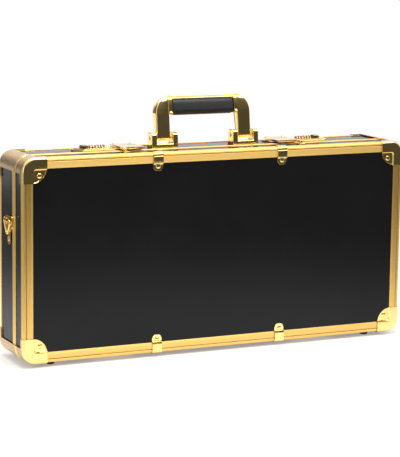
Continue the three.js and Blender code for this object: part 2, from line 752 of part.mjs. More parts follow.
for (const [side, right] of SIDES) {
  add(`base_hinge_${side}`, 'plate', baseHinge(right * HINGE.x));
  add(`lid_hinge_${side}`, 'plate', lidHinge(right * HINGE.x));
  add(`handle_bracket_${side}`, 'plate', bracket(right * BRACKET.x));
  add(`handle_pin_${side}`, 'plate', handlePin(right * BRACKET.x));
  add(`lock_${side}_body`, 'plate', mirrored(lockBody(), right, 1, 1));
  add(`lock_${side}_slide`, 'plate', mirrored(thumbSlide(), right, 1, 1));
  add(`lock_${side}_hasp`, 'plate', mirrored(hasp(), right, 1, 1));
  add(`lock_${side}_keeper`, 'plate', mirrored(keeper(), right, 1, 1));
  for (let index = 0; index < DIAL.count; index += 1) {
    add(`lock_${side}_dial_${index + 1}`, 'dial', mirrored(dial(index), right, 1, 1));
  }
  add(`strap_plate_${side}`, 'plate', mirrored(strapPlate(), right, 1, 1));
  add(`strap_ring_${side}`, 'plate', mirrored(strapRing(), right, 1, 1));
}

export default group;
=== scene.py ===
"""The looks of a gold-trimmed poker chip case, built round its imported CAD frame.

Shapes are drawn in millimetres in the part's own frame: +X along the case, +Y to its back, +Z up.
"""

import json
import math

import bmesh
import bpy
from mathutils import Matrix, Vector


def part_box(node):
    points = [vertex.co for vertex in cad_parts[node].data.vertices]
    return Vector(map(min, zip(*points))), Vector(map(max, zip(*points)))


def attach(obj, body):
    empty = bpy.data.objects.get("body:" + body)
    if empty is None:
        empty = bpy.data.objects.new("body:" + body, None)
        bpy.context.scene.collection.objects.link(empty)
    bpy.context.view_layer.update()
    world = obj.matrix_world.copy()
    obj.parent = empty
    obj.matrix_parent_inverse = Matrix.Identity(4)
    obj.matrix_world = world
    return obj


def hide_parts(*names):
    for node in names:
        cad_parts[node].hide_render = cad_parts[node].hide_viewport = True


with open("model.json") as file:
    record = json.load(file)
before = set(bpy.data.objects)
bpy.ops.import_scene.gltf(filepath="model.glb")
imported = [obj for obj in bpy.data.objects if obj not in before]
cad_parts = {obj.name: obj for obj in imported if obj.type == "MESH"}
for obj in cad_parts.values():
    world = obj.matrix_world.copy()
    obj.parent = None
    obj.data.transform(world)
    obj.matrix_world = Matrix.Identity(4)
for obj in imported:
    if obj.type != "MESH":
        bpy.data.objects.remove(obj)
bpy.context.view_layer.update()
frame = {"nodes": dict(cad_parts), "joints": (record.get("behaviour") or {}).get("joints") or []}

MM = 0.001
SIDES = (("left", -1), ("right", 1))
LEVELS = (("top", 1), ("bottom", -1))


def span(node):
    """((x0, x1), (y0, y1), (z0, z1)) of a CAD node, in millimetres."""
    low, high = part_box(node)
    return tuple((low[i] / MM, high[i] / MM) for i in range(3))


def right_span(node):
    """A CAD node's span as if the node were on the case's right."""
    xs, ys, zs = span(node)
    return tuple(sorted(abs(x) for x in xs)), ys, zs


def middle(pair):
    """The number halfway between two others."""
    return (pair[0] + pair[1]) / 2


def joint_axis(name):
    """A point on a CAD joint's axis, in millimetres."""
    joint = next(joint for joint in frame["joints"] if joint["name"] == name)
    return tuple(v / MM for v in joint["pos_m"])


def round_edges(shown, width, segments, crease, method):
    """A modifier that rounds edges by their angle or by their weight, width millimetres wide."""
    rounding = shown.modifiers.new("rounding", "BEVEL")
    rounding.width = width * MM
    rounding.segments = segments
    rounding.limit_method = method
    rounding.angle_limit = math.radians(crease)
    rounding.harden_normals = True


def show(name, data):
    """A new object in the scene."""
    made = bpy.data.objects.new(name, data)
    bpy.context.scene.collection.objects.link(made)
    return made


# ---- sizes -----------------------------------------------------------------------------------

LID_TRIM = span("lid_edge_trim")
BASE_TRIM = span("base_edge_trim")
MOUTH_TRIM = span("base_mouth_trim")
HALF_LENGTH = LID_TRIM[0][1]
BOTTOM, TOP = LID_TRIM[2]
FRONT = LID_TRIM[1][0]
BACK = BASE_TRIM[1][1]
LID_MOUTH = span("lid_wall_left")[1][1]
BASE_MOUTH = MOUTH_TRIM[1][0]
MIDDLE_Z = (BOTTOM + TOP) / 2
CORNER_RADIUS = 18
PANEL_RECESS = span("lid_front_panel")[1][0] - FRONT
WALL_INSET = 6.5

TRIM = {"face": 14, "side": LID_TRIM[1][1] - FRONT, "metal": 1.2, "round": 3.2, "lip": 2.6}
TRIM |= {"groove": 1.4, "deep": 1.05, "mouth_round": 1.6}
FLUTE = {"pitch": 1.5, "depth": 0.05, "margin": 1.3}
PLATE = {"gap": 0.3, "metal": 1.0, "leg": 33, "wrap": 20, "bead": 0.7, "clear": 0.7}
GUSSET = {"centre": 13, "radius": 20, "slope": 1.5, "rivet": 23, "rim": 0.55}
PLATE_LEVEL = PANEL_RECESS - PLATE["clear"]
SKIN = {"thick": 1.5, "gap": 0.2, "lid_sunk": 0.7, "base_sunk": 0.65}
RIVET_RADIUS = 3.2
SCREW_RADIUS = 1.9

# Each half's own depth runs from its outer face inwards to its mouth.
LID = {"name": "lid", "face": FRONT, "sign": 1, "mouth": LID_MOUTH}
BASE = {"name": "base", "face": BACK, "sign": -1, "mouth": BASE_MOUTH}


# ---- materials -------------------------------------------------------------------------------


class Nodes:
    """A node tree, with the few kinds of node that the looks and the studio share."""

    def __init__(self, tree):
        self.tree = tree

    def node(self, kind, **settings):
        """A new node of a kind, with its settings."""
        made = self.tree.nodes.new("ShaderNode" + kind)
        for key, value in settings.items():
            setattr(made, key, value)
        return made

    def link(self, output, target):
        """Joins an output to an input."""
        self.tree.links.new(output, target)

    def between(self, source, low, high, from_low=0.3, from_high=0.7, **settings):
        """A value brought from one range to another."""
        made = self.node("MapRange", **settings)
        made.inputs["From Min"].default_value = from_low
        made.inputs["From Max"].default_value = from_high
        made.inputs["To Min"].default_value = low
        made.inputs["To Max"].default_value = high
        self.link(source, made.inputs["Value"])
        return made.outputs["Result"]


class Look(Nodes):
    """A material. Socket names are given with _ for each space."""

    def __init__(self, name, color, roughness, metallic=0.0, **sockets):
        self.material = bpy.data.materials.new(name)
        self.material.use_nodes = True
        super().__init__(self.material.node_tree)
        self.shader = self.tree.nodes["Principled BSDF"]
        self.shader.inputs["Base Color"].default_value = (*color, 1)
        self.shader.inputs["Roughness"].default_value = roughness
        self.shader.inputs["Metallic"].default_value = metallic
        for socket, value in sockets.items():
            self.shader.inputs[socket.replace("_", " ")].default_value = value
        self.material.diffuse_color = (*color, 1)

    def coordinates(self, scale, source="Object"):
        """Coordinates in metres, stretched by scale along each axis."""
        mapping = self.node("Mapping")
        mapping.inputs["Scale"].default_value = scale
        self.link(self.node("TexCoord").outputs[source], mapping.inputs["Vector"])
        return mapping.outputs["Vector"]

    def noise(self, scale, detail=3.0, vector=None):
        """Soft random values; scale is in blobs to the metre."""
        made = self.node("TexNoise")
        made.inputs["Scale"].default_value = scale
        made.inputs["Detail"].default_value = detail
        self.link(vector or self.coordinates((1, 1, 1)), made.inputs["Vector"])
        return made.outputs["Fac"]

    def cells(self, scale):
        """How far each place is from the edge of its grain."""
        made = self.node("TexVoronoi", feature="DISTANCE_TO_EDGE")
        made.inputs["Scale"].default_value = scale
        self.link(self.coordinates((1, 1, 1)), made.inputs["Vector"])
        return made.outputs["Distance"]

    def color_between(self, source, first, second):
        """Lets the colour wander between two."""
        made = self.node("Mix", data_type="RGBA")
        self.link(self.between(source, 0, 1), made.inputs[0])
        made.inputs[6].default_value = (*first, 1)
        made.inputs[7].default_value = (*second, 1)
        self.link(made.outputs[2], self.shader.inputs["Base Color"])

    def rough(self, source, low, high):
        """Lets the roughness wander between two values."""
        self.link(self.between(source, low, high), self.shader.inputs["Roughness"])

    def bump(self, source, strength, distance):
        """Adds relief, distance metres high, over any that is there."""
        made = self.node("Bump")
        made.inputs["Strength"].default_value = strength
        made.inputs["Distance"].default_value = distance
        self.link(source, made.inputs["Height"])
        previous = self.shader.inputs["Normal"].links
        if previous:
            self.link(previous[0].from_socket, made.inputs["Normal"])
        self.link(made.outputs["Normal"], self.shader.inputs["Normal"])


def trim_look():
    """Gold anodised extrusion, drawn and brushed along its length, which is the sweep's U."""
    look = Look("gold_trim", (1.0, 0.66, 0.2), 0.45, 1.0, Anisotropic=0.8, Anisotropic_Rotation=0.25)
    look.link(look.node("Tangent", direction_type="UV_MAP").outputs[0], look.shader.inputs["Tangent"])
    streaks = look.noise(1, 3, look.coordinates((3, 4200, 1), "UV"))
    broad = look.noise(1, 2, look.coordinates((1.5, 160, 1), "UV"))
    look.color_between(broad, (0.98, 0.63, 0.18), (1.0, 0.68, 0.22))
    look.rough(streaks, 0.42, 0.5)
    look.bump(streaks, 0.03, 0.00005)
    return look.material


def plain_look(name, color, roughness, metallic, tint, rough=None, bumps=(), **sockets):
    """A material whose colour, roughness and relief wander with noise.

    tint is (noise scale, first colour, second colour), rough is (noise scale, low, high) and each
    bump is (noise scale, detail, strength, distance), where a detail of 0 stands for grain cells.
    """
    look = Look(name, color, roughness, metallic, **sockets)
    scale, first, second = tint
    look.color_between(look.noise(scale), first, second)
    if rough:
        scale, low, high = rough
        look.rough(look.noise(scale), low, high)
    for scale, detail, strength, distance in bumps:
        source = look.noise(scale, detail) if detail else look.cells(scale)
        look.bump(source, strength, distance)
    return look.material


def velvet_look(name, nap):
    """Black pile; nap is how fine it is."""
    tint = (35, (0.006, 0.006, 0.008), (0.013, 0.013, 0.016))
    bumps = [(nap, 3, 0.6, 0.0004), (120, 2, 0.25, 0.0008)]
    sheen = {"Sheen_Weight": 0.35, "Sheen_Roughness": 0.4}
    return plain_look(name, (0.008, 0.008, 0.01), 0.95, 0, tint, None, bumps, **sheen)


gold_trim = trim_look()

tint = (9, (0.008, 0.008, 0.0085), (0.0105, 0.01, 0.0105))
bumps = [(1500, 2, 0.05, 0.0001)]
board = plain_look("black_board", (0.009, 0.009, 0.0095), 0.2, 0, tint, (60, 0.17, 0.24), bumps, IOR=1.28)

# Mirror-polished plating on pressed metal, with the faint waviness of the pressing.
tint = (30, (0.98, 0.71, 0.26), (1.0, 0.76, 0.31))
bumps = [(55, 1, 0.1, 0.0006), (1400, 1, 0.03, 0.0001)]
gold_plate = plain_look("gold_plate", (1.0, 0.74, 0.29), 0.1, 1, tint, (240, 0.06, 0.14), bumps)

# The plates' sides, left mottled by the pressing.
tint = (420, (0.48, 0.3, 0.16), (0.9, 0.63, 0.35))
bumps = [(420, 2, 0.45, 0.0003)]
brushed_gold = plain_look("brushed_gold", (0.9, 0.6, 0.27), 0.3, 1, tint, (700, 0.2, 0.42), bumps)

# The locks' plating, made paler than the plates to paint in the white that it reflects: a painted
# reflection.
tint = (40, (0.91, 0.7, 0.36), (0.96, 0.78, 0.44))
bumps = [(900, 1, 0.04, 0.0001)]
pale_gold_painted_reflection = plain_look("pale_gold_painted_reflection", (0.94, 0.74, 0.4), 0.12, 1, tint, (300, 0.08, 0.18), bumps)

# Painted shade: a dark metal for the locks' recesses and thumb slides and for the trims' inner edges and
# groove floors, standing in for the shade that falls there.
tint = (400, (0.06, 0.05, 0.03), (0.13, 0.11, 0.07))
painted_shade = plain_look("painted_shade", (0.09, 0.075, 0.045), 0.3, 1, tint, (900, 0.22, 0.4))

tint = (500, (0.62, 0.44, 0.26), (0.76, 0.56, 0.34))
dial_brass = plain_look("dial_brass", (0.7, 0.5, 0.3), 0.35, 1, tint, (1200, 0.3, 0.42))

tint = (900, (0.11, 0.0015, 0.005), (0.17, 0.003, 0.009))
red_paint = plain_look("red_paint", (0.14, 0.002, 0.007), 0.6, 0, tint, (1500, 0.5, 0.7), IOR=1.2)

tint = (160, (0.007, 0.007, 0.0075), (0.013, 0.012, 0.013))
bumps = [(900, 0, 0.35, 0.0006), (2600, 2, 0.2, 0.0001)]
leather = plain_look("black_leather", (0.012, 0.012, 0.013), 0.42, 0, tint, (500, 0.36, 0.5), bumps)

tint = (2500, (0.012, 0.012, 0.012), (0.03, 0.03, 0.03))
thread = plain_look("black_thread", (0.02, 0.02, 0.02), 0.8, 0, tint, None, [(5000, 3, 0.4, 0.0001)])

tint = (200, (0.006, 0.006, 0.006), (0.012, 0.012, 0.012))
bumps = [(1800, 3, 0.2, 0.0002)]
rubber = plain_look("black_rubber", (0.008, 0.008, 0.008), 0.7, 0, tint, (700, 0.6, 0.8), bumps)

velvet = velvet_look("lid_velvet", 2600)
flock = velvet_look("tray_flock", 3800)

# Each finish is a slot of the part and the materials that show it.
# The trims' second material is painted shade.
TRIM_GOLD = ("gold_aluminium", gold_trim, painted_shade)
PLATED = ("gold_plate", gold_plate)
MOTTLED = ("gold_plate", gold_plate, brushed_gold)
PALE = ("gold_plate", pale_gold_painted_reflection)
SHADE_PAINTED = ("gold_plate", painted_shade)
NUMBERED = ("dial_brass", dial_brass, red_paint)


# ---- shapes ----------------------------------------------------------------------------------


def distances(points, wrap):
    """Lengths along a line of points in millimetres, as metres."""
    found = [0.0]
    following = list(points[1:]) + ([points[0]] if wrap else [])
    for a, b in zip(points, following):
        found.append(found[-1] + (Vector(b) - Vector(a)).length * MM)
    return found


class Shape:
    """A mesh in millimetres, put together from closed solids and sheets.

    It is drawn on the upper right, and right and up of -1 put the piece on the other side or level.
    """

    def __init__(self, right=1, up=1):
        self.right, self.up = right, up
        self.bm = bmesh.new()
        self.uv = self.bm.loops.layers.uv.new("along")
        self.material_index = 0
        self.largest = 0

    def face(self, vertices, coordinates=()):
        """A face with the look in hand, and its UVs."""
        made = self.bm.faces.new(vertices)
        made.material_index = self.material_index
        for loop, uv in zip(made.loops, coordinates):
            loop[self.uv].uv = uv
        return made

    def grid(self, rows, wrap_rows=False, wrap_columns=False, skip=lambda i, j: False):
        """Quads between rows of points, with lengths along and across as UVs, in metres."""
        points = [[self.bm.verts.new(p) for p in row] for row in rows]
        along = distances([row[0] for row in rows], wrap_rows)
        across = distances(rows[0], wrap_columns)
        count, width = len(rows), len(rows[0])
        for i in range(count if wrap_rows else count - 1):
            for j in range(width if wrap_columns else width - 1):
                if skip(i, j):
                    continue
                next_row, nj = points[(i + 1) % count], (j + 1) % width
                corners = (points[i][j], next_row[j], next_row[nj], points[i][nj])
                near, far = across[j], across[j + 1]
                uvs = ((along[i], near), (along[i + 1], near), (along[i + 1], far), (along[i], far))
                self.face(corners, uvs)
        return points

    def darken(self, chosen):
        """Gives the second look to the faces whose middles are chosen."""
        for face in self.bm.faces:
            if chosen(face.calc_center_median()):
                face.material_index = 1

    def tube(self, rows, wrap=False):
        """A solid through closed sections, capped at its ends unless it closes on itself."""
        points = self.grid(rows, wrap_rows=wrap, wrap_columns=True)
        if not wrap:
            self.face(points[0])
            self.face(points[-1])

    def prism(self, outline, low, high, axis):
        """A polygon of two coordinates, drawn out from low to high along axis x, y or z."""
        place = {
            "x": lambda p, t: (t, p[0], p[1]),
            "y": lambda p, t: (p[0], t, p[1]),
            "z": lambda p, t: (p[0], p[1], t),
        }[axis]
        self.tube([[place(p, t) for p in outline] for t in (low, high)])

    def box(self, x, y, z):
        """A block between two places on each axis."""
        self.prism([(x[0], y[0]), (x[1], y[0]), (x[1], y[1]), (x[0], y[1])], z[0], z[1], "z")

    def lathe(self, profile, centre, axis, segments=32):
        """(radius, height) points turned about an axis through centre; radius 0 closes an end."""
        axis = Vector(axis).normalized()
        across = axis.orthogonal().normalized()
        other = axis.cross(across)
        turns = [2 * math.pi * i / segments for i in range(segments)]
        rings = []
        for radius, height in profile:
            base = Vector(centre) + axis * height
            if radius == 0:
                rings.append([self.bm.verts.new(base)])
            else:
                spokes = [across * math.cos(a) + other * math.sin(a) for a in turns]
                rings.append([self.bm.verts.new(base + radius * spoke) for spoke in spokes])
        for lower, upper in zip(rings, rings[1:]):
            for i in range(segments):
                j = (i + 1) % segments
                corners = [lower[i % len(lower)], lower[j % len(lower)]]
                corners += [upper[j % len(upper)], upper[i % len(upper)]]
                self.face(list(dict.fromkeys(corners)))
        for ring in (rings[0], rings[-1]):
            if len(ring) > 1:
                self.face(ring)

    def rod(self, start, end, radius, segments=24):
        """A round bar from start to end."""
        start, end = Vector(start), Vector(end)
        self.lathe([(radius, 0), (radius, (end - start).length)], start, end - start, segments)

    def rivet(self, centre, axis, radius=RIVET_RADIUS, height=1.15):
        """A domed rivet head with a small dimple, standing on its foot at centre."""
        dome = [(radius * 1.06, 0), (radius * 1.06, height * 0.16)]
        for step in range(1, 8):
            a = math.pi / 2 * step / 8
            dome.append((radius * math.cos(a), height * (0.2 + 0.8 * math.sin(a))))
        dome += [(radius * 0.1, height * 0.93), (0, height * 0.9)]
        self.lathe(dome, centre, axis, 28)

    def screw(self, centre, axis, radius=SCREW_RADIUS, height=0.8):
        """A round screw head with a driver's recess."""
        head = [(radius, 0), (radius, height * 0.35)]
        core = 0.45 * radius
        for step in range(1, 5):
            a = math.pi / 2 * step / 5
            head.append((core + (radius - core) * math.cos(a), height * (0.35 + 0.65 * math.sin(a))))
        head += [(radius * 0.4, height), (radius * 0.3, height * 0.3), (0, height * 0.3)]
        self.lathe(head, centre, axis, 24)

    def numeral(self, text, height, x, centre, radius, turn):
        """A thin solid numeral wrapped round a drum about X, at that turn up from the front."""
        curve = bpy.data.curves.new("numeral", "FONT")
        curve.body = text
        curve.size = height * 1.4
        curve.offset = height * 0.045
        curve.extrude = 0.06
        curve.resolution_u = 3
        curve.align_x, curve.align_y = "CENTER", "CENTER"
        letter = bpy.data.objects.new("numeral", curve)
        flat = letter.to_mesh()
        made = []
        for point in flat.vertices:
            u, v, w = point.co
            a, reach = turn + v / radius, radius + w
            place = (x + u, centre[0] - reach * math.cos(a), centre[1] + reach * math.sin(a))
            made.append(self.bm.verts.new(place))
        for polygon in flat.polygons:
            self.face([made[i] for i in polygon.vertices])
        bmesh.ops.remove_doubles(self.bm, verts=made, dist=0.001)
        letter.to_mesh_clear()
        bpy.data.objects.remove(letter)
        bpy.data.curves.remove(curve)

    def carve(self, cutter):
        """Cuts another shape's solids out of this one."""
        made = []
        for part in (self, cutter):
            bmesh.ops.recalc_face_normals(part.bm, faces=part.bm.faces)
            mesh = bpy.data.meshes.new("carved")
            part.bm.to_mesh(mesh)
            part.bm.free()
            made.append(show("carved", mesh))
        body, tool = made
        difference = body.modifiers.new("carve", "BOOLEAN")
        difference.operation, difference.solver, difference.object = "DIFFERENCE", "EXACT", tool
        difference.use_self = True
        result = body.evaluated_get(bpy.context.evaluated_depsgraph_get()).to_mesh()
        self.bm = bmesh.new()
        self.bm.from_mesh(result)
        self.uv = self.bm.loops.layers.uv.verify()
        for done in made:
            mesh = done.data
            bpy.data.objects.remove(done)
            bpy.data.meshes.remove(mesh)

    def weigh(self, radius):
        """Sets how far each edge is rounded: radius(a, b) is in millimetres, 0 for a sharp edge."""
        layer = self.bm.edges.layers.float.new("bevel_weight_edge")
        wanted = {edge: radius(edge.verts[0].co, edge.verts[1].co) for edge in self.bm.edges}
        self.largest = max(wanted.values())
        for edge, value in wanted.items():
            edge[layer] = value / self.largest

    def lean(self):
        """Turns a handle shape from upright to the handle's raised place."""
        turn = Matrix.Rotation(-math.radians(HANDLE["lean"]), 3, "X")
        bmesh.ops.rotate(self.bm, verts=self.bm.verts, cent=(0, HANDLE_Y, PIVOT_Z), matrix=turn)

    def face_outwards(self):
        """Turns an open sheet's faces away from the middle of the case."""
        centre = Vector((0, 0, MIDDLE_Z))
        out = sum(f.normal.dot(f.calc_center_median() - centre) * f.calc_area() for f in self.bm.faces)
        if out < 0:
            bmesh.ops.reverse_faces(self.bm, faces=self.bm.faces)

    def piece(self, name, body, finish, replaces=(), crease=30, bevel=0.0, segments=2, metal=0.0):
        """Makes the object, rides it on its body and hides the CAD nodes that it replaces.

        finish is a slot, which is not used, and its materials, crease the angle that stays sharp, bevel
        the rounding of sharp edges and metal the thickness of an open sheet.
        """
        slot, *materials = finish
        for vertex in self.bm.verts:
            x, y, z = vertex.co
            vertex.co = (x * self.right, y, z if self.up > 0 else 2 * MIDDLE_Z - z)
        bmesh.ops.recalc_face_normals(self.bm, faces=self.bm.faces)
        if metal:
            self.bm.normal_update()
            self.face_outwards()
        bmesh.ops.scale(self.bm, verts=self.bm.verts, vec=(MM, MM, MM))
        for edge in self.bm.edges:
            edge.smooth = edge.calc_face_angle(0) < math.radians(crease)
        for made in self.bm.faces:
            made.smooth = True
        mesh = bpy.data.meshes.new(name)
        self.bm.to_mesh(mesh)
        self.bm.free()
        for material in materials:
            mesh.materials.append(material)
        made = show(name, mesh)
        if metal:
            sheet = made.modifiers.new("metal", "SOLIDIFY")
            sheet.thickness = metal * MM
            sheet.offset = -1
        if bevel or self.largest:
            round_edges(made, bevel or self.largest, segments, crease, "ANGLE" if bevel else "WEIGHT")
        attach(made, body)
        if replaces:
            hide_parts(*replaces)
        return made


def arc(centre, radius, start, end, steps):
    """Points on an arc in a plane, from one angle to another in degrees, ends included."""
    turns = [math.radians(start + (end - start) * i / steps) for i in range(steps + 1)]
    return [(centre[0] + radius * math.cos(a), centre[1] + radius * math.sin(a)) for a in turns]


def rounded(u, v, radius, steps=6):
    """A rectangle from u[0] to u[1] and v[0] to v[1] with round corners."""
    points = []
    corners = ((u[1], v[0], -90), (u[1], v[1], 0), (u[0], v[1], 90), (u[0], v[0], 180))
    for x, y, start in corners:
        cx = x - radius if x == u[1] else x + radius
        cy = y - radius if y == v[1] else y + radius
        points += arc((cx, cy), radius, start, start + 90, steps)
    return points


def paint(node, material):
    """Gives a CAD node that stays in view its material."""
    shown = frame["nodes"][node]
    shown.data.materials.clear()
    shown.data.materials.append(material)


# ---- the case's outline, which the trims and corner plates follow ----------------------------


def corner_stations(legs, steps):
    """Points and inward directions round the upper right corner, along leg, arc and leg.

    legs are distances from the corner's two outer edges, the longest first.
    """
    x, z, r = HALF_LENGTH, TOP, CORNER_RADIUS
    found = [((x - leg, z), (0, -1)) for leg in legs]
    for step in range(steps + 1):
        a = math.pi / 2 * (1 - step / steps)
        ray = (math.cos(a), math.sin(a))
        found.append(((x - r + r * ray[0], z - r + r * ray[1]), (-ray[0], -ray[1])))
    found += [((x, z - leg), (-1, 0)) for leg in reversed(legs)]
    return found


def outline_stations(steps=12, bar=8):
    """The whole outline, from the middle of the top clockwise, with each bar in a few lengths."""
    quarter = corner_stations((), steps)
    run_x, run_z = HALF_LENGTH - CORNER_RADIUS, (TOP - BOTTOM) / 2 - CORNER_RADIUS
    found = []
    for sx, sz in ((1, 1), (1, -1), (-1, -1), (-1, 1)):
        corner = [
            ((px * sx, MIDDLE_Z + (pz - MIDDLE_Z) * sz), (nx * sx, nz * sz))
            for (px, pz), (nx, nz) in quarter
        ]
        found += corner if sx * sz > 0 else corner[::-1]
    filled = []
    for (p, n), (q, _) in zip(found, found[1:] + found[:1]):
        filled.append((p, n))
        if math.dist(p, q) > min(run_x, run_z):
            for i in range(1, bar):
                t = i / bar
                filled.append(((p[0] + (q[0] - p[0]) * t, p[1] + (q[1] - p[1]) * t), n))
    return filled


def along_outline(stations, profile, half):
    """Rows of points: each profile point's (inset, depth) at each station."""
    rows = []
    for (px, pz), (nx, nz) in stations:
        row = [(px + d * nx, half["face"] + half["sign"] * depth, pz + d * nz) for d, depth in profile]
        rows.append(row)
    return rows


def flutes(start, end):
    """Shallow V grooves between two places across a bar, as (place, sunk) points."""
    count = max(1, round(abs(end - start) / FLUTE["pitch"]))
    step = (end - start) / count
    points = []
    for i in range(count):
        points += [(start + step * i, 0), (start + step * (i + 0.5), FLUTE["depth"])]
    return points + [(end, 0)]


# ---- edge trims ------------------------------------------------------------------------------


def edge_trim(half):
    """The extruded L that binds a half's outer edge: a lip, flutes, a groove and a round edge."""
    metal, r, side = TRIM["metal"], TRIM["round"], TRIM["side"]
    lip_start = TRIM["face"] - TRIM["lip"]
    groove, deep, brim, floor = r + TRIM["groove"], TRIM["deep"], 0.9, 0.25
    face = [(TRIM["face"], metal), (TRIM["face"], metal - 0.35), (lip_start, 0)]
    face += flutes(lip_start - 0.8, groove + 1.4)
    face += [(groove + brim, 0), (groove + floor, deep), (groove - floor, deep), (groove - brim, 0)]
    edge = arc((r, r), r, 270, 180, 8)
    flank = [(sunk, depth) for depth, sunk in flutes(r + FLUTE["margin"], side - FLUTE["margin"])]
    back = [(0, side - 0.4), (0.4, side), (metal, side), (metal, r), (r, metal)]
    shape = Shape()
    shape.tube(along_outline(outline_stations(), face + edge + flank + back, half), wrap=True)
    # Painted shade: the inner cut edge and the groove floor take the dark second material, standing in
    # for the shade there.
    for shadowed in (side, deep):
        shape.darken(lambda place: abs(abs(place.y - half["face"]) - shadowed) < 0.05)
    name = half["name"]
    shape.piece(f"{name}_edge_frame", name, TRIM_GOLD, [f"{name}_edge_trim"], crease=13)


def mouth_trim():
    """The band round the base's mouth, with a bead at its edge and a lip over the boards."""
    depth = BACK - BASE_MOUTH
    width = MOUTH_TRIM[1][1] - BASE_MOUTH
    metal, r = TRIM["metal"], TRIM["mouth_round"]
    start = depth - width
    flank = [(sunk, y) for y, sunk in flutes(start + FLUTE["margin"], depth - r - FLUTE["margin"])]
    edge = arc((r, depth - r), r, 180, 90, 6)
    profile = [(metal, start), (0.4, start), (0, start + 0.4)] + flank + edge
    profile += [(WALL_INSET, depth), (WALL_INSET, depth - metal), (metal, depth - metal)]
    shape = Shape()
    shape.tube(along_outline(outline_stations(), profile, BASE), wrap=True)
    # Painted shade: the faces at the mouth edge take the dark second material, standing in for the shade
    # of the gap between the halves.
    shape.darken(lambda place: place.y < BASE_MOUTH + 0.8 * r)
    shape.piece("base_mouth_frame", "base", TRIM_GOLD, ["base_mouth_trim"], crease=13)


# ---- corner plates ---------------------------------------------------------------------------


def corner_plate(half, level, up, side, right):
    """A pressed plate round a corner: an L on the face, a round edge, a wrap and a gusset."""
    gap, metal = PLATE["gap"], PLATE["metal"]
    outer = gap + metal
    r = TRIM["round"] + outer
    mouth = abs(half["mouth"] - half["face"]) - gap
    inner = TRIM["face"] + gap
    face = [(inner + GUSSET["slope"], PLATE_LEVEL), (inner + 0.25, -outer + 0.15), (inner - 0.5, -outer)]
    face += [(inner * 0.6, -outer)]
    edge = arc((r - outer, r - outer), r, 270, 180, 8)
    flank = [(-outer, TRIM["side"])]
    bead = PLATE["bead"]
    wrap = [(-outer, mouth - 3 * bead), (-outer - bead * 0.7, mouth - 2 * bead)]
    wrap += [(-outer - bead, mouth - bead), (-outer - bead * 0.6, mouth - bead * 0.2), (-outer, mouth)]
    stations = corner_stations((PLATE["leg"], PLATE["leg"] - 1, PLATE["wrap"]), 14)
    last = len(stations) - 1
    shallow = len(face) + len(edge) + len(flank) - 1
    shape = Shape(right, up)
    shape.grid(
        along_outline(stations, face + edge + flank + wrap, half),
        skip=lambda i, j: j >= shallow and (i < 2 or i >= last - 2),
    )
    shape.darken(lambda place: TRIM["round"] < abs(place.y - half["face"]) < mouth - 3 * bead)
    gusset(shape, half, inner)
    name = f"{half['name']}_corner_{level}_{side}"
    shape.piece(f"{name}_plate", half["name"], MOTTLED, [name], 22, 0.25, metal=metal)


def gusset(shape, half, inner):
    """The sunk quarter disc inside the L; its rivet is made by corner_rivet."""
    c, r = GUSSET["centre"], GUSSET["radius"]
    near = inner + 0.4
    reach = math.degrees(math.asin((near - c) / r))
    sweep = arc((c, c), r, reach, 90 - reach, 18)
    rim = GUSSET["rim"]
    rings = []
    for shrink, sunk in ((0, 0.5), (0.15, -rim), (0.75, -rim), (1.1, 0)):
        y = half["face"] + half["sign"] * (PLATE_LEVEL + sunk)
        ring = [(c + (u - c) * (1 - shrink / r), c + (v - c) * (1 - shrink / r)) for u, v in sweep]
        rings.append([(HALF_LENGTH - u, y, TOP - v) for u, v in ring])
    verts = shape.grid(rings)
    y = half["face"] + half["sign"] * PLATE_LEVEL
    shape.face([shape.bm.verts.new((HALF_LENGTH - near, y, TOP - near)), *verts[-1]])


def corner_rivet(half, level, up, side, right):
    """The domed rivet in a corner plate's gusset."""
    at = GUSSET["rivet"]
    shape = Shape(right, up)
    y = half["face"] + half["sign"] * PLATE_LEVEL
    shape.rivet((HALF_LENGTH - at, y, TOP - at), (0, -half["sign"], 0))
    name = f"{half['name']}_corner_{level}_{side}_rivet"
    shape.piece(name, half["name"], PLATED)


# ---- trim clips ------------------------------------------------------------------------------


def trim_clip(level, up, side):
    """A strap over the lid's edge trim, stepped down to a round tab riveted to the panel."""
    node = f"lid_clip_{level}_{side}"
    (x0, x1), _, (z0, z1) = span(node)
    outer = PLATE["gap"] + PLATE["metal"]
    r = TRIM["round"] + outer
    width = x1 - x0
    drop = z1 - z0 - outer
    inner = TRIM["face"] + PLATE["gap"]
    groove = TRIM["round"] + 0.9
    line = [(-outer, TRIM["side"])] + arc((r - outer, r - outer), r, 180, 270, 7)
    line += [(groove - 0.1, -outer), (groove + 0.4, 0.55 - outer), (groove + 1.1, -outer)]
    line += [(inner - 0.4, -outer), (inner + 0.3, -outer + 0.2), (inner + GUSSET["slope"], PLATE_LEVEL)]
    line += [(drop - width / 2 + i * width / 16, PLATE_LEVEL) for i in range(9)]
    rows = []
    for d, depth in line:
        half_width = width / 2
        into = d - (drop - width / 2)
        if into > 0:
            half_width = math.sqrt(max(0.0, half_width**2 - into**2))
        xs = [middle((x0, x1)) + half_width * t for t in (-1, -0.5, 0, 0.5, 1)]
        rows.append([(x, FRONT + depth, TOP - d) for x in xs])
    shape = Shape(up=up)
    shape.grid(rows[:-1])
    bmesh.ops.remove_doubles(shape.bm, verts=shape.bm.verts, dist=0.01)
    shape.piece(f"{node}_strap", "lid", PLATED, [node], bevel=0.3, metal=PLATE["metal"])
    head = Shape(up=up)
    head.rivet((middle((x0, x1)), FRONT + PLATE_LEVEL, TOP - drop + width / 2), (0, -1, 0))
    head.piece(f"{node}_rivet", "lid", PLATED)


# ---- laminate --------------------------------------------------------------------------------


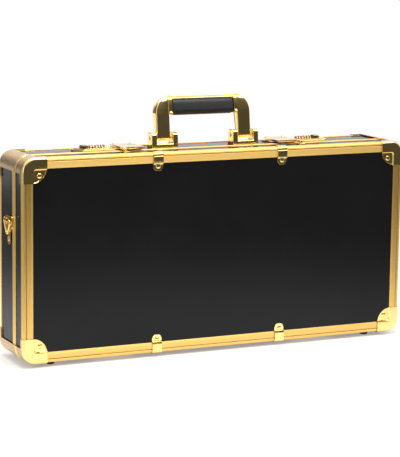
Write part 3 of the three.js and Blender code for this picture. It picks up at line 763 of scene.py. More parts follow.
def board_skins(half, near, far):
    """The laminate on a half's four walls, which stands nearly level with the trims."""
    thick, sunk = SKIN["thick"], SKIN[f"{half['name']}_sunk"]
    y = (near + SKIN["gap"], far - SKIN["gap"])
    reach = CORNER_RADIUS + 2
    out_x, out_z = HALF_LENGTH - sunk, TOP - sunk
    end = ((out_x - thick, out_x), y, (BOTTOM + reach, TOP - reach))
    flat = ((reach - HALF_LENGTH, HALF_LENGTH - reach), y, (out_z - thick, out_z))
    walls = [(side, end, right, 1) for side, right in SIDES]
    walls += [(level, flat, 1, up) for level, up in LEVELS]
    for wall, block, right, up in walls:
        shape = Shape(right, up)
        shape.box(*block)
        name = f"{half['name']}_skin_{wall}"
        shape.piece(name, half["name"], ("black_board", board), bevel=0.3)


# ---- feet ------------------------------------------------------------------------------------


def foot(half, side):
    """A moulded rubber foot, tapered and chamfered, with a recess sunk in the middle of its underside."""
    node = f"{half['name']}_foot_{side}"
    (x0, x1), (y0, y1), (z0, z1) = span(node)
    r = (x1 - x0) / 2
    profile = [(0, z1), (r, z1), (r, z1 - 2.2), (r * 0.94, z0 + 1.3), (r * 0.9, z0 + 0.5)]
    profile += [(r * 0.8, z0), (r * 0.5, z0), (r * 0.45, z0 + 0.6), (r * 0.42, z0 + 2.4), (0, z0 + 2.4)]
    shape = Shape()
    shape.lathe(profile, (middle((x0, x1)), middle((y0, y1)), 0), (0, 0, 1), 40)
    shape.piece(f"{node}_rubber", half["name"], ("black_rubber", rubber), [node], crease=35)


for half in (LID, BASE):
    edge_trim(half)
    for level, up in LEVELS:
        for side, right in SIDES:
            corner_plate(half, level, up, side, right)
            corner_rivet(half, level, up, side, right)
    for side, _ in SIDES:
        foot(half, side)
    paint(f"{half['name']}_{'front' if half is LID else 'back'}_panel", board)
    for side in ("top", "bottom", "left", "right"):
        paint(f"{half['name']}_wall_{side}", board)

mouth_trim()
board_skins(LID, LID_TRIM[1][1], LID_MOUTH)
board_skins(BASE, MOUTH_TRIM[1][1], BASE_TRIM[1][0])

for level, up in LEVELS:
    for side, _ in SIDES:
        trim_clip(level, up, side)

# ---- handle ----------------------------------------------------------------------------------

# The handle is drawn upright and then leaned back about its pivot.
_, HANDLE_Y, PIVOT_Z = joint_axis("handle_swing")
HANDLE = {"lean": 12, "rise": 56.5, "depth": 14, "barrel": 4.25, "bore": 1.8, "post": 19, "strip": 5.2}
HANDLE |= {"radius": 24, "shoulder": 30, "fillet": 3}
GRIP = {"height": 21.2, "depth": 16, "gap": 0.3, "pinch": 0.09, "pinch_run": 1.1, "square": 0.52}
GRIP |= {"seam": 0.7, "seam_width": 0.05}
GRIP_END = span("handle_grip")[0][1]
GRIP_TOP = PIVOT_Z + HANDLE["rise"] - HANDLE["strip"] - GRIP["gap"]
GRIP_FOOT = GRIP_TOP - GRIP["height"]
GRIP_FRONT = HANDLE_Y - GRIP["depth"] / 2


def post_section(width, half_depth):
    """Half of a post's section as (inwards, sideways): flat faces, with the outer edges rounder."""
    outer = min(1.8, half_depth * 0.5)
    inner = min(0.6, half_depth * 0.3)
    turn = arc((outer, half_depth - outer), outer, 180, 90, 5)
    back = arc((width - inner, half_depth - inner), inner, 90, 0, 3)
    return turn + back + [(width, half_depth * 0.3)]


def strip_section(width, half_depth):
    """Half of the top strip's section, with a broad slope down to its lower edge."""
    slope = ((0, 0.4), (0.1, 0.55), (0.45, 0.66), (1.3, 0.7), (2.2, 0.745), (2.9, 0.82), (3.9, 0.95))
    points = [(d, half_depth * share) for d, share in slope]
    points += [(width - 0.7, half_depth), (width - 0.35, half_depth)]
    return points + [(width - 0.1, half_depth - 0.25), (width, half_depth * 0.3)]


def handle_bow():
    """The polished bow: two posts that taper in depth down to their barrels, and a top strip."""
    half = span("handle_bow")[0][1]
    half_depth, barrel = HANDLE["depth"] / 2, HANDLE["barrel"]
    crown = PIVOT_Z + HANDLE["rise"]
    radius, fillet = HANDLE["radius"], HANDLE["fillet"]
    inner_x, inner_z = half - HANDLE["post"], crown - HANDLE["strip"]
    turn_z = crown - radius
    depths = [(PIVOT_Z - sunk, max(0.8, reach)) for reach, sunk in arc((0, 0), barrel, 90, 0, 6)[1:]]
    for t in (1 / 3, 2 / 3, 1):
        depths.append((PIVOT_Z + HANDLE["shoulder"] * t, barrel + (half_depth - barrel) * t))
    rows = [bow_row((half, z), (inner_x, z), depth, 0) for z, depth in depths]
    # Through the bend the inner edge runs up the post, round the fillet and along the strip.
    bend, post_end, fillet_end = 18, 0.5, 0.7
    for step in range(bend + 1):
        t = step / bend
        a = math.pi / 2 * t
        outside = (half - radius + radius * math.cos(a), turn_z + radius * math.sin(a))
        if t < post_end:
            inside = (inner_x, turn_z + 2 + (inner_z - fillet - turn_z - 2) * t / post_end)
        elif t < fillet_end:
            b = math.pi / 2 * (t - post_end) / (fillet_end - post_end)
            inside = (inner_x - fillet + fillet * math.cos(b), inner_z - fillet + fillet * math.sin(b))
        else:
            share = (t - fillet_end) / (1 - fillet_end)
            inside = (inner_x - fillet + (half - radius - inner_x + fillet) * share, inner_z)
        rows.append(bow_row(outside, inside, half_depth, min(1, max(0, (t - 0.45) / 0.4))))
    mirrored = [[(-x, y, z) for x, y, z in row] for row in reversed(rows)]
    shape = Shape()
    shape.tube(rows + mirrored)
    for _, right in SIDES:
        bore = Shape()
        ends = sorted((right * (inner_x - 1), right * (half + 1)))
        bore.rod((ends[0], HANDLE_Y, PIVOT_Z), (ends[1], HANDLE_Y, PIVOT_Z), HANDLE["bore"], 24)
        shape.carve(bore)
    shape.lean()
    shape.piece("handle_bow_casting", "handle", PLATED, ["handle_bow"], crease=38)


def bow_row(outside, inside, depth, blend):
    """One closed section of the bow, between its outer and inner edges."""
    outside, inside = Vector(outside), Vector(inside)
    width = (inside - outside).length
    soft = blend * blend * (3 - 2 * blend)
    pairs = zip(post_section(width, depth), strip_section(width, depth))
    half = [(p[0] + (q[0] - p[0]) * soft, p[1] + (q[1] - p[1]) * soft) for p, q in pairs]
    row = []
    for d, y in half + [(d, -y) for d, y in reversed(half)]:
        place = outside + (inside - outside) * (d / width)
        row.append((place.x, HANDLE_Y - y, place.y))
    return row


def handle_grip():
    """The leather-covered pad between the posts, pinched at its ends, with a seam underneath."""
    centre_z = (GRIP_TOP + GRIP_FOOT) / 2
    half_y, half_z = GRIP["depth"] / 2, GRIP["height"] / 2
    stations, around, square = 40, 48, GRIP["square"]
    rows = []
    for i in range(stations + 1):
        x = GRIP_END * (2 * i / stations - 1)
        pinch = 1 - GRIP["pinch"] * math.exp(-(GRIP_END - abs(x)) / GRIP["pinch_run"])
        row = []
        for k in range(around):
            a = 2 * math.pi * k / around
            c, s = math.cos(a), math.sin(a)
            y = half_y * math.copysign(abs(c) ** square, c)
            z = half_z * math.copysign(abs(s) ** square, s)
            seam = GRIP["seam"] * math.exp(-(((a - 1.5 * math.pi) / GRIP["seam_width"]) ** 2))
            row.append((x, HANDLE_Y + y * pinch, centre_z + (z + seam) * pinch))
        rows.append(row)
    shape = Shape()
    shape.tube(rows)
    shape.lean()
    finish = ("black_leather", leather)
    pad = shape.piece("handle_grip_pad", "handle", finish, ["handle_grip"], crease=50)
    smooth = pad.modifiers.new("smooth", "SUBSURF")
    smooth.levels = smooth.render_levels = 1


def stitches():
    """The seam's stitches, along the underside of the grip."""
    shape = Shape()
    pitch, length, margin = 3.2, 2.1, 4
    count = int(2 * (GRIP_END - margin) / pitch)
    for i in range(count + 1):
        x = (i - count / 2) * pitch
        for y in (HANDLE_Y - 1.5, HANDLE_Y + 1.5):
            z = GRIP_FOOT + 0.1
            shape.rod((x - length / 2, y, z), (x + length / 2, y, z), 0.28, 8)
    shape.lean()
    shape.piece("handle_grip_stitches", "handle", ("black_leather", thread))


COLLAR = {"inset": 0.6, "round": 1.2, "ball": 2.8, "ball_out": 2.2, "ball_up": 1.6}


def handle_collar(side, right):
    """The block that joins the grip to its post, and the ball-headed screw in it."""
    shape = Shape(right)
    end = GRIP_END + 0.1
    post = span("handle_bow")[0][1] - HANDLE["post"]
    inset, ball = COLLAR["inset"], COLLAR["ball"]
    across = (GRIP_FRONT + inset, GRIP_FRONT + GRIP["depth"] - inset)
    outline = rounded(across, (GRIP_FOOT + inset, GRIP_TOP + 0.2), COLLAR["round"])
    shape.prism(outline, end, post + 0.2, "x")
    centre = (end + COLLAR["ball_out"], GRIP_FRONT + inset, GRIP_FOOT + COLLAR["ball_up"])
    profile = [(ball * math.sin(a), -ball * math.cos(a)) for a in (math.pi * i / 14 for i in range(15))]
    profile[0], profile[-1] = (0, -ball), (0, ball)
    shape.lathe(profile, centre, (0, -1, 0.3), 28)
    shape.lean()
    shape.piece(f"handle_collar_{side}", "handle", PLATED, bevel=0.12)


BRACKET = {"cheek": 7.6, "sill": 4.5, "lean": 1.5, "round": 4, "edge": 1.1, "pin": 1.5, "head": 2.7}


def handle_bracket(side):
    """A cast U that the handle's barrel turns in."""
    (x0, x1), (y0, y1), (z0, z1) = span(f"handle_bracket_{side}")
    cheek, sill = BRACKET["cheek"], TOP + BRACKET["sill"]
    outline = [(x0, z0), (x1, z0), (x1, z1), (x1 - cheek, z1), (x1 - cheek, sill)]
    outline += [(x0 + cheek, sill), (x0 + cheek, z1), (x0, z1)]
    shape = Shape()
    shape.prism(outline, y0, y1, "y")
    for vertex in shape.bm.verts:
        rise = (vertex.co.z - z0) / (z1 - z0)
        vertex.co.y += BRACKET["lean"] * rise * (1 if vertex.co.y < middle((y0, y1)) else -1)

    def radius(a, b):
        """The rounding of the edge from a to b: sharp at the foot, broad over the crown."""
        crown = min(a.z, b.z) > z1 - 0.1 and abs(a.y - b.y) < 0.1
        foot = max(a.z, b.z) < z0 + 0.1
        return 0 if foot else BRACKET["round"] if crown else BRACKET["edge"]

    shape.weigh(radius)
    node = f"handle_bracket_{side}"
    shape.piece(f"{node}_casting", "base", PLATED, [node], segments=5)
    pin = Shape()
    pin.rod((x0 - 0.1, HANDLE_Y, PIVOT_Z), (x1 + 0.1, HANDLE_Y, PIVOT_Z), BRACKET["pin"], 20)
    for x, out in ((x0, -1), (x1, 1)):
        pin.rivet((x, HANDLE_Y, PIVOT_Z), (out, 0, 0), BRACKET["head"], 0.8)
    pin.piece(f"handle_pin_{side}_riveted", "base", PLATED, [f"handle_pin_{side}"])


handle_bow()
handle_grip()
stitches()
for side, right in SIDES:
    handle_collar(side, right)
    handle_bracket(side)


# ---- combination locks, drawn on the right ---------------------------------------------------

LOCK = {"taper": 10, "nose": 6, "flange": 1.35, "housing": 134.5, "inset": 1.6, "tip": 2.56, "crown": 3}
DIAL = {"band": 5.2, "digit": 3.9, "teeth": 20, "bore": 1.4, "side": 0.25, "rim": 1.05, "notch": 0.32}
DIAL |= {"room": 0.45, "window": 5.9}
HASP = {"ear": 4, "pivot_y": 24, "bore": 1.1, "above": 2.2, "front": -17, "hook": 4, "tip": 2.5}
HASP |= {"notch_y": 20.9, "notch_start": 1.9, "notch_end": 6.1, "ear_round": 2.3, "ear_half": 1.5}
# The cutters reach up to here, over everything on the locks.
CLEAR = TOP + 9


def lock_housing(side, right):
    """A flanged plate with a raised housing, cut for the dials and the thumb slide."""
    node = f"lock_{side}_body"
    (x0, x1), (y0, y1), _ = right_span(node)
    flange_low = span(f"lock_{side}_keeper")[2][0]
    taper, nose, inset = LOCK["taper"], LOCK["nose"] / 2, LOCK["inset"]
    mid = middle((y0, y1))
    plate = [(x0, y0), (x1 - taper, y0), (x1, mid - nose), (x1, mid + nose), (x1 - taper, y1), (x0, y1)]
    shape = Shape(right)
    shape.prism(plate, flange_low, TOP + LOCK["flange"], "z")
    heel, tip = LOCK["housing"], x1 - LOCK["tip"]
    body = [(heel, y0 + inset), (tip - taper, y0 + inset), (tip, mid - nose + 1), (tip, mid + nose - 1)]
    body += [(tip - taper, y1 - inset), (heel, y1 - inset)]
    shape.prism(body, TOP + 0.5, TOP + LOCK["crown"], "z")
    cutter = Shape()
    room, window = DIAL["room"], DIAL["window"]
    for index in (1, 2, 3):
        (u0, u1), vs, _ = right_span(f"lock_{side}_dial_{index}")
        axle_y = middle(vs)
        cutter.box((u0 - room, u1 + room), (axle_y - window, axle_y + window), (TOP + 1.7, CLEAR))
    (u0, u1), (v0, v1), _ = right_span(f"lock_{side}_slide")
    cutter.box((u0 + 1, u1 + 3.5), (v0 + 3, v1 - 3), (TOP + HASP["above"], CLEAR))
    shape.carve(cutter)
    shape.piece(f"{node}_housing", "base", PALE, [node], bevel=0.4, segments=3)
    # Painted shade: a dark block and rod under the dial windows and the slide's slot, standing in for the
    # shade inside the housing.
    painted_shade_well = Shape(right)
    painted_shade_well.box((heel + 2, tip - taper - 1), (v0 - 1.2, v1 + 1.2), (TOP + 1.2, TOP + 2.0))
    painted_shade_well.rod((heel + 6, axle_y, TOP + 0.5), (heel + 34, axle_y, TOP + 0.5), 1.0, 16)
    painted_shade_well.piece(f"lock_{side}_well", "base", SHADE_PAINTED)
    hasp_ears(side, right, x0, y0)


def hasp_ears(side, right, heel, front):
    """The two ears and the pin that the hasp turns on, and the lock's screws beside them."""
    ear, y = HASP["ear"], HASP["pivot_y"]
    radius, half_width = HASP["ear_round"], HASP["ear_half"]
    shape = Shape(right)
    for x in (heel + ear + 7, LOCK["housing"] - 10):
        shape.screw((x, front + 3.4, TOP + LOCK["flange"]), (0, 0, 1), 1.5, 0.5)
    (x0, x1), _, (_, hasp_top) = right_span(f"lock_{side}_hasp")
    pin_z = (TOP + HASP["above"] + hasp_top) / 2
    for x in (x0 + ear, x1 - ear):
        outline = arc((y, pin_z), radius, 0, 180, 8) + [(y - radius, TOP + 1), (y + radius, TOP + 1)]
        shape.prism(outline, x - half_width, x + half_width, "x")
    shape.rod((x0 + 1, y, pin_z), (x1 - 1, y, pin_z), 0.8, 16)
    shape.piece(f"lock_{side}_hasp_ears", "base", PALE, bevel=0.15)


def lock_dial(side, index):
    """A number wheel with milled rims, drawn in its place so that its numerals aren't mirrored."""
    node = f"lock_{side}_dial_{index}"
    (x0, x1), (y0, y1), (z0, z1) = span(node)
    centre_y, centre_z = middle((y0, y1)), middle((z0, z1))
    rim, band, bore = (z1 - z0) / 2, DIAL["band"], DIAL["bore"]
    points = DIAL["teeth"] * 4
    chamfer, edge = rim - 0.5, x0 + DIAL["rim"]
    widths = [(x0, chamfer), (x0 + DIAL["side"], rim), (edge, rim), (edge + 0.15, band)]
    widths += [(x0 + x1 - x, r) for x, r in reversed(widths)]
    widths += [(x1, bore), (x0, bore)]
    rows = []
    for x, r in widths:
        row = []
        for k in range(points):
            a = 2 * math.pi * k / points
            reach = r - (DIAL["notch"] if r >= chamfer and k % 4 in (2, 3) else 0)
            row.append((x, centre_y + reach * math.cos(a), centre_z + reach * math.sin(a)))
        rows.append(row)
    shape = Shape()
    shape.tube(rows, wrap=True)
    shape.material_index = 1
    for digit in range(10):
        turn = 2 * math.pi * digit / 10 + math.pi / 2
        shape.numeral(str(digit), DIAL["digit"], middle((x0, x1)), (centre_y, centre_z), band, turn)
    shape.piece(f"{node}_wheel", f"{side}_dial_{index}", NUMBERED, [node], crease=40)


def lock_slide(side, right):
    """A ribbed thumb slide: pale ribs on a body coloured with painted shade for the grooves between them.
    """
    node = f"lock_{side}_slide"
    (x0, x1), (y0, y1), (z0, z1) = right_span(node)
    ribs, margin = 6, 0.6
    pitch = (x1 - x0 - 2 * margin) / ribs
    shape = Shape(right)
    shape.prism(rounded((x0, x1), (y0, y1), 1.4, 4), z0, z1 - 1.0, "z")
    shape.piece(f"{node}_thumb", f"{side}_slide", SHADE_PAINTED, [node], bevel=0.15)
    ridges = Shape(right)
    for i in range(ribs):
        x, foot, crown = x0 + margin + pitch * (i + 0.5), pitch * 0.3, pitch * 0.12
        ridge = [(x - foot, z1 - 1.2), (x + foot, z1 - 1.2), (x + crown, z1), (x - crown, z1)]
        ridges.prism(ridge, y0 + 0.5, y1 - 0.5, "y")
    ridges.piece(f"{node}_ribs", f"{side}_slide", PALE, bevel=0.1)


def lock_hasp(side, right):
    """The hinged hasp: a bevelled plate with a slot whose floor is painted shade, and a hook that reaches
    the keeper.
    """
    node = f"lock_{side}_hasp"
    (x0, x1), (y0, y1), (z0, z1) = right_span(node)
    low, front, hook = TOP + HASP["above"], HASP["front"], HASP["hook"]
    heel = x1 - hook
    notch_y, near, far = HASP["notch_y"], HASP["notch_start"], HASP["notch_end"]
    plate = [(x0, front + 1), (x0 + 1, front), (heel, front), (heel, y0 + 1), (heel + 1, y0)]
    plate += [(x1 - 1, y0), (x1, y0 + 1), (x1, y1), (x1 - near, y1), (x1 - near, notch_y)]
    plate += [(x1 - far, notch_y), (x1 - far, y1), (x0 + far, y1), (x0 + far, notch_y)]
    plate += [(x0 + near, notch_y), (x0 + near, y1), (x0, y1)]
    shape = Shape(right)
    shape.prism(plate, low, z1, "z")
    shape.box((heel + 0.2, x1 - 0.2), (y0, y0 + HASP["tip"]), (z0, low + 0.5))
    lip = [(front - 0.01, low), (front + 2.4, low), (front + 2.4, z1 - 0.4), (front - 0.01, z1 - 0.4)]
    shape.prism(lip, x0 + 1, heel - 0.5, "x")
    slot = Shape()
    slot.box((x0 + 3, x1 - 5), (7.2, 9.4), (z1 - 0.9, CLEAR))
    slot.box((x0 + 2.2, x1 - 5.2), (front + 3.6, front + 4.6), (z1 - 0.5, CLEAR))
    pin_y, pin_z = HASP["pivot_y"], (low + z1) / 2
    slot.rod((x0 - 1, pin_y, pin_z), (x1 + 1, pin_y, pin_z), HASP["bore"], 20)
    shape.carve(slot)
    shape.piece(f"{node}_plate", f"{side}_hasp", PALE, [node], bevel=0.45, segments=3)
    # Painted shade: a dark block at the bottom of the slot, standing in for the shade inside it.
    painted_slot_shade = Shape(right)
    painted_slot_shade.box((x0 + 3.1, x1 - 5.1), (7.3, 9.3), (z1 - 1.2, z1 - 0.75))
    painted_slot_shade.piece(f"{node}_inlay", f"{side}_hasp", SHADE_PAINTED)


def lock_keeper(side, right):
    """The plate on the lid that the hasp's hook comes down on."""
    node = f"lock_{side}_keeper"
    (x0, x1), (y0, y1), (z0, z1) = right_span(node)
    shape = Shape(right)
    shape.prism(rounded((x0, x1), (y0, y1), 1.5, 4), z0, z1, "z")
    pit = Shape()
    pit.box((x0 + 2.4, x0 + 6.2), (y0 + 1.6, y0 + 5.0), (z1 - 0.7, z1 + 2))
    shape.carve(pit)
    for x in (x0 + 7.3, x0 + 2.7):
        shape.screw((x, y1 - 3, z1 - 0.35), (0, 0, 1), 1.5, 0.55)
    shape.piece(f"{node}_plate", "lid", PALE, [node], bevel=0.2)


for side, right in SIDES:
    lock_housing(side, right)
    lock_slide(side, right)
    lock_hasp(side, right)
    lock_keeper(side, right)
    for index in (1, 2, 3):
        lock_dial(side, index)


# ---- strap rings -----------------------------------------------------------------------------

RING = {"wire": 1.3, "round": 3.2}
STRAP = {"low": 0.3, "high": 1.7, "above": 5, "shoulder": 8.5, "waist": 17, "foot": 33, "tail": 4.5}
STRAP |= {"barrel": 6, "knuckle": 4, "outer": 3.3, "bore": 2.0}


def strap_plate(side, right):
    """A pressed plate with a riveted tail, and the barrel that its ring's straight side turns in."""
    node = f"strap_plate_{side}"
    _, (y0, y1), _ = span(node)
    axis_x, axis_y, axis_z = joint_axis(f"{side}_ring_swing")
    axis_x = abs(axis_x)
    face_low, face_high = HALF_LENGTH + STRAP["low"], HALF_LENGTH + STRAP["high"]
    tail, above, shoulder = STRAP["tail"], STRAP["above"], axis_z - STRAP["shoulder"]
    foot_z, waist_z = axis_z - STRAP["foot"], axis_z - STRAP["waist"]
    outline = [(y0, axis_z + above - 1.5), (y0, shoulder), (axis_y - tail, waist_z)]
    outline += arc((axis_y, foot_z + tail), tail, 180, 360, 12)
    outline += [(axis_y + tail, waist_z), (y1, shoulder), (y1, axis_z + above - 1.5)]
    outline += [(y1 - 1.5, axis_z + above), (y0 + 1.5, axis_z + above)]
    shape = Shape(right)
    shape.prism(outline, face_low, face_high, "x")
    packing = (MOUTH_TRIM[1][1] + 0.4, y1 - 0.5)
    shape.box((HALF_LENGTH - 1.2, face_low + 0.3), packing, (axis_z - 8, axis_z + 4))
    back, front = axis_y - STRAP["barrel"], axis_y + STRAP["barrel"]
    ring = arc((axis_x, axis_z), STRAP["outer"], 0, 360, 24)[:-1]
    for low, high in ((back, back + STRAP["knuckle"]), (front - STRAP["knuckle"], front)):
        shape.prism(ring, low, high, "y")
    shape.box((face_low + 0.2, axis_x), (back, front), (axis_z + 1.2, axis_z + 3.2))
    bore = Shape()
    bore.rod((axis_x, axis_y - 20, axis_z), (axis_x, axis_y + 20, axis_z), STRAP["bore"], 24)
    shape.carve(bore)
    shape.piece(f"{node}_pressing", "base", PLATED, [node], bevel=0.3)
    rivets = Shape(right)
    places = [(axis_y, foot_z + tail + 3, 3.0)]
    places += [(y0 + 3.4, axis_z - 4.5, 2.0), (y1 - 3.4, axis_z - 4.5, 2.0)]
    for y, z, radius in places:
        rivets.rivet((face_high, y, z), (1, 0, 0), radius, 1.0)
    rivets.piece(f"{node}_rivets", "base", PLATED)


def strap_ring(side, right):
    """A ring of round wire bent to a triangle that hangs from its straight top."""
    node = f"strap_ring_{side}"
    xs, (y0, y1), (z0, z1) = right_span(node)
    x = middle(xs)
    wire, bend = RING["wire"], RING["round"]
    top, low = z1 - wire, z0 + wire
    half = (y1 - y0) / 2 - wire
    mid = middle((y0, y1))
    corners = [(mid - half, top), (mid + half, top), (mid, low)]
    path = rounded_path(corners, bend, 7)
    rows = []
    for i, (y, z) in enumerate(path):
        before, after = path[i - 1], path[(i + 1) % len(path)]
        along = Vector((after[0] - before[0], after[1] - before[1])).normalized()
        out = (-along.y, along.x)
        row = []
        for k in range(16):
            a = 2 * math.pi * k / 16
            reach = wire * math.cos(a)
            row.append((x + wire * math.sin(a), y + out[0] * reach, z + out[1] * reach))
        rows.append(row)
    shape = Shape(right)
    shape.tube(rows, wrap=True)
    shape.piece(f"{node}_wire", f"{side}_strap_ring", PLATED, [node], crease=60)


def rounded_path(corners, radius, steps):
    """A closed polygon's path with its corners rounded to that radius."""
    path = []
    for i, corner in enumerate(corners):
        corner = Vector(corner)
        back = (Vector(corners[i - 1]) - corner).normalized()
        ahead = (Vector(corners[(i + 1) % len(corners)]) - corner).normalized()
        half_angle = back.angle(ahead) / 2
        trim = radius / math.tan(half_angle)
        centre = corner + (back + ahead).normalized() * radius / math.sin(half_angle)
        start, end = corner + back * trim - centre, corner + ahead * trim - centre
        sweep = start.angle_signed(end)
        for step in range(steps + 1):
            turned = start.copy()
            turned.rotate(Matrix.Rotation(-sweep * step / steps, 2))
            path.append(tuple(centre + turned))
    return path


for side, right in SIDES:
    strap_plate(side, right)
    strap_ring(side, right)


# ---- hinges ----------------------------------------------------------------------------------


def ease(node, width):
    """Rounds a CAD node's sharp edges with a modifier, which leaves its mesh as it is."""
    round_edges(frame["nodes"][node], width, 2, 35, "ANGLE")


def hinge_leaf(half, side):
    """The CAD leaf and knuckles, with their edges eased and screws added."""
    node = f"{half['name']}_hinge_{side}"
    (x0, x1), (y0, y1), _ = span(node)
    paint(node, gold_plate)
    ease(node, 0.25)
    y = middle((y0, y1)) - half["sign"] * 2.2
    screws = Shape()
    for t in (0.12, 0.5, 0.88):
        screws.screw((x0 + (x1 - x0) * t, y, 4.25), (0, 0, -1), 1.9, 0.6)
    screws.piece(f"{node}_screws", half["name"], PLATED)


for half in (LID, BASE):
    for side, _ in SIDES:
        hinge_leaf(half, side)


# ---- inside ----------------------------------------------------------------------------------


PAD = {"edge": 0.4, "swell": 5, "tuft": 0.8, "pitch": 62, "sewn": 6, "corner": 10}


def lid_pad():
    """The lid's padded velvet lining, crowned, with its edges pulled in."""
    (x0, x1), (y0, y1), (z0, z1) = span("lid_lining")
    thick = y1 - y0
    half_x, half_z = (x1 - x0) / 2, (z1 - z0) / 2
    mid_x, mid_z = middle((x0, x1)), middle((z0, z1))
    columns, levels, edge_share = 120, 60, PAD["edge"]
    front_rows, back_rows = [], []
    for j in range(levels + 1):
        front, back = [], []
        for i in range(columns + 1):
            x, z = squircle(2 * i / columns - 1, 2 * j / levels - 1, half_x, half_z, PAD["corner"])
            edge = min(half_x - abs(x), half_z - abs(z))
            swell = (1 - math.exp(-max(edge, 0) / PAD["swell"])) * (1 - PAD["tuft"] * quilting(x, z))
            height = thick * (edge_share + (1 - edge_share) * swell)
            front.append((mid_x + x, y0 + height, mid_z + z))
            back.append((mid_x + x, y0, mid_z + z))
        front_rows.append(front)
        back_rows.append(back)
    shape = Shape()
    faces = shape.grid(front_rows)
    backs = shape.grid(back_rows)
    rim = perimeter(faces), perimeter(backs)
    for i in range(len(rim[0])):
        shape.face([rim[0][i - 1], rim[0][i], rim[1][i], rim[1][i - 1]])
    pad = shape.piece("lid_velvet_pad", "lid", ("lid_velvet", velvet), ["lid_lining"], crease=60)


def perimeter(points):
    """The outer vertices of a grid, in order."""
    first, last = points[0], points[-1]
    right = [row[-1] for row in points[1:-1]]
    left = [row[0] for row in points[1:-1]]
    return first + right + last[::-1] + left[::-1]


def squircle(u, v, half_x, half_z, radius):
    """A square's point on a rectangle with round corners."""
    x, z = u * half_x, v * half_z
    dx, dz = abs(x) - (half_x - radius), abs(z) - (half_z - radius)
    if dx > 0 and dz > 0:
        reach = max(dx, dz)
        length = math.hypot(dx, dz)
        x = math.copysign(half_x - radius + dx * reach / length, x)
        z = math.copysign(half_z - radius + dz * reach / length, z)
    return x, z


def quilting(x, z):
    """1 on the sewn diagonals of the quilting, falling to 0 between them."""
    pitch = PAD["pitch"]
    off = min(abs(line - round(line)) for line in ((x + z) / pitch, (x - z) / pitch))
    return math.exp(-((off * pitch / PAD["sewn"]) ** 2))


lid_pad()
paint("chip_tray", flock)
ease("chip_tray", 0.8)

# ---- camera ----------------------------------------------------------------------------------

CAMERA = {"azimuth": -25.365, "elevation": 9.543, "roll": 0.712, "lens": 150.16}
CAMERA_PLACE = (-1.1017, -2.3048, 0.5900)


def add_camera():
    """The camera, where the photograph was taken from."""
    data = bpy.data.cameras.new("camera")
    data.lens = CAMERA["lens"]
    data.sensor_width = 36
    data.clip_start, data.clip_end = 0.05, 60
    made = show("camera", data)
    turn = Matrix.Rotation(math.radians(CAMERA["azimuth"]), 4, "Z")
    tilt = Matrix.Rotation(math.radians(90 - CAMERA["elevation"]), 4, "X")
    roll = Matrix.Rotation(math.radians(CAMERA["roll"]), 4, "Z")
    made.matrix_world = Matrix.Translation(CAMERA_PLACE) @ turn @ tilt @ roll
    bpy.context.scene.camera = made


# ---- studio ----------------------------------------------------------------------------------

FLOOR = {"radius": 1.6, "solid": 0.3, "gone": 0.85}


def add_floor():
    """A pale round table top that fades out at its edge."""
    mesh = bpy.data.meshes.new("floor")
    shape = bmesh.new()
    bmesh.ops.create_circle(shape, cap_ends=True, radius=FLOOR["radius"], segments=96)
    shape.to_mesh(mesh)
    shape.free()
    look = Look("floor", (0.6, 0.6, 0.6), 0.6, Emission_Color=(1, 1, 1, 1), Emission_Strength=0.3)
    look.shader.inputs["Specular IOR Level"].default_value = 0.1
    look.color_between(look.noise(3), (0.59, 0.59, 0.59), (0.61, 0.61, 0.61))
    away = look.node("VectorMath", operation="LENGTH")
    look.link(look.coordinates((1, 1, 1)), away.inputs[0])
    shown = look.between(away.outputs["Value"], 1, 0, FLOOR["solid"], FLOOR["gone"])
    look.link(shown, look.shader.inputs["Alpha"])
    mesh.materials.append(look.material)
    made = show("floor", mesh)


STUDIO = {"bright": 0.95, "left": 0.06, "wall": 0.45, "dark": 0.075}


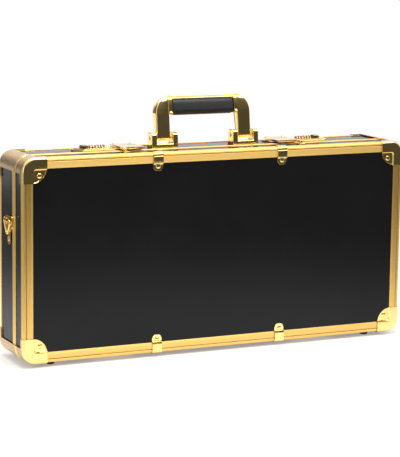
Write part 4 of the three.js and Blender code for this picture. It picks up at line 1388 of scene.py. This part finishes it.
def add_world():
    """White to the camera; to the object, a white studio that is dark in front and to the left."""
    world = bpy.data.worlds.new("studio")
    bpy.context.scene.world = world
    world.use_nodes = True
    studio = Nodes(world.node_tree)
    studio.tree.nodes.clear()

    def combine(operation, a, b):
        """A sum, product or the like of numbers and outputs."""
        made = studio.node("Math", operation=operation)
        for socket, value in zip(made.inputs, (a, b)):
            if isinstance(value, (int, float)):
                socket.default_value = value
            else:
                studio.link(value, socket)
        return made.outputs[0]

    def ramp(source, from_low, from_high, low, high):
        """A soft step from low to high."""
        return studio.between(source, low, high, from_low, from_high, interpolation_type="SMOOTHSTEP")

    split = studio.node("SeparateXYZ")
    studio.link(studio.node("TexCoord").outputs["Generated"], split.inputs[0])
    x, y, z = split.outputs
    behind = ramp(y, -0.75, 0.15, 0, 1)
    above = ramp(z, 0.25, 0.75, 0, 1)
    aside = ramp(x, -0.36, 0.0, STUDIO["left"], 1)
    wall = ramp(x, -0.8, -0.6, STUDIO["wall"], 0)
    lit = combine("MAXIMUM", combine("MAXIMUM", combine("MULTIPLY", behind, aside), wall), above)
    strength = combine("ADD", combine("MULTIPLY", lit, STUDIO["bright"]), STUDIO["dark"])
    is_camera = studio.node("LightPath").outputs["Is Camera Ray"]
    felt = combine("MULTIPLY", combine("SUBTRACT", 1, is_camera), strength)
    background = studio.node("Background")
    background.inputs["Color"].default_value = (1, 1, 1, 1)
    studio.link(combine("ADD", is_camera, felt), background.inputs["Strength"])
    studio.link(background.outputs[0], studio.node("OutputWorld").inputs["Surface"])


def add_softbox(name, place, target, size, power):
    """A rectangular lamp at a place in metres, turned to its target; power is in watts."""
    data = bpy.data.lights.new(name, "AREA")
    data.shape = "RECTANGLE"
    data.size, data.size_y = size
    data.energy = power
    made = show(name, data)
    made.location = place
    direction = Vector(target) - Vector(place)
    made.rotation_mode = "QUATERNION"
    made.rotation_quaternion = direction.to_track_quat("-Z", "Y")


add_camera()
add_floor()
add_world()
add_softbox("softbox_above", (-0.2, -0.25, 1.6), (0, 0, 0.1), (1.1, 0.7), 26)
add_softbox("softbox_front", (0.7, -0.9, 1.3), (0, 0, 0.15), (0.9, 0.5), 8.5)
add_softbox("softbox_behind", (-0.45, 0.9, 0.175), (0, 0, 0.3), (0.3, 0.14), 0.13)
add_softbox("softbox_left", (-1.5, -0.8, 0.55), (0, 0, 0.2), (0.5, 0.9), 1.5)

view = bpy.context.scene.view_settings
view.view_transform = "Standard"
view.look = "None"
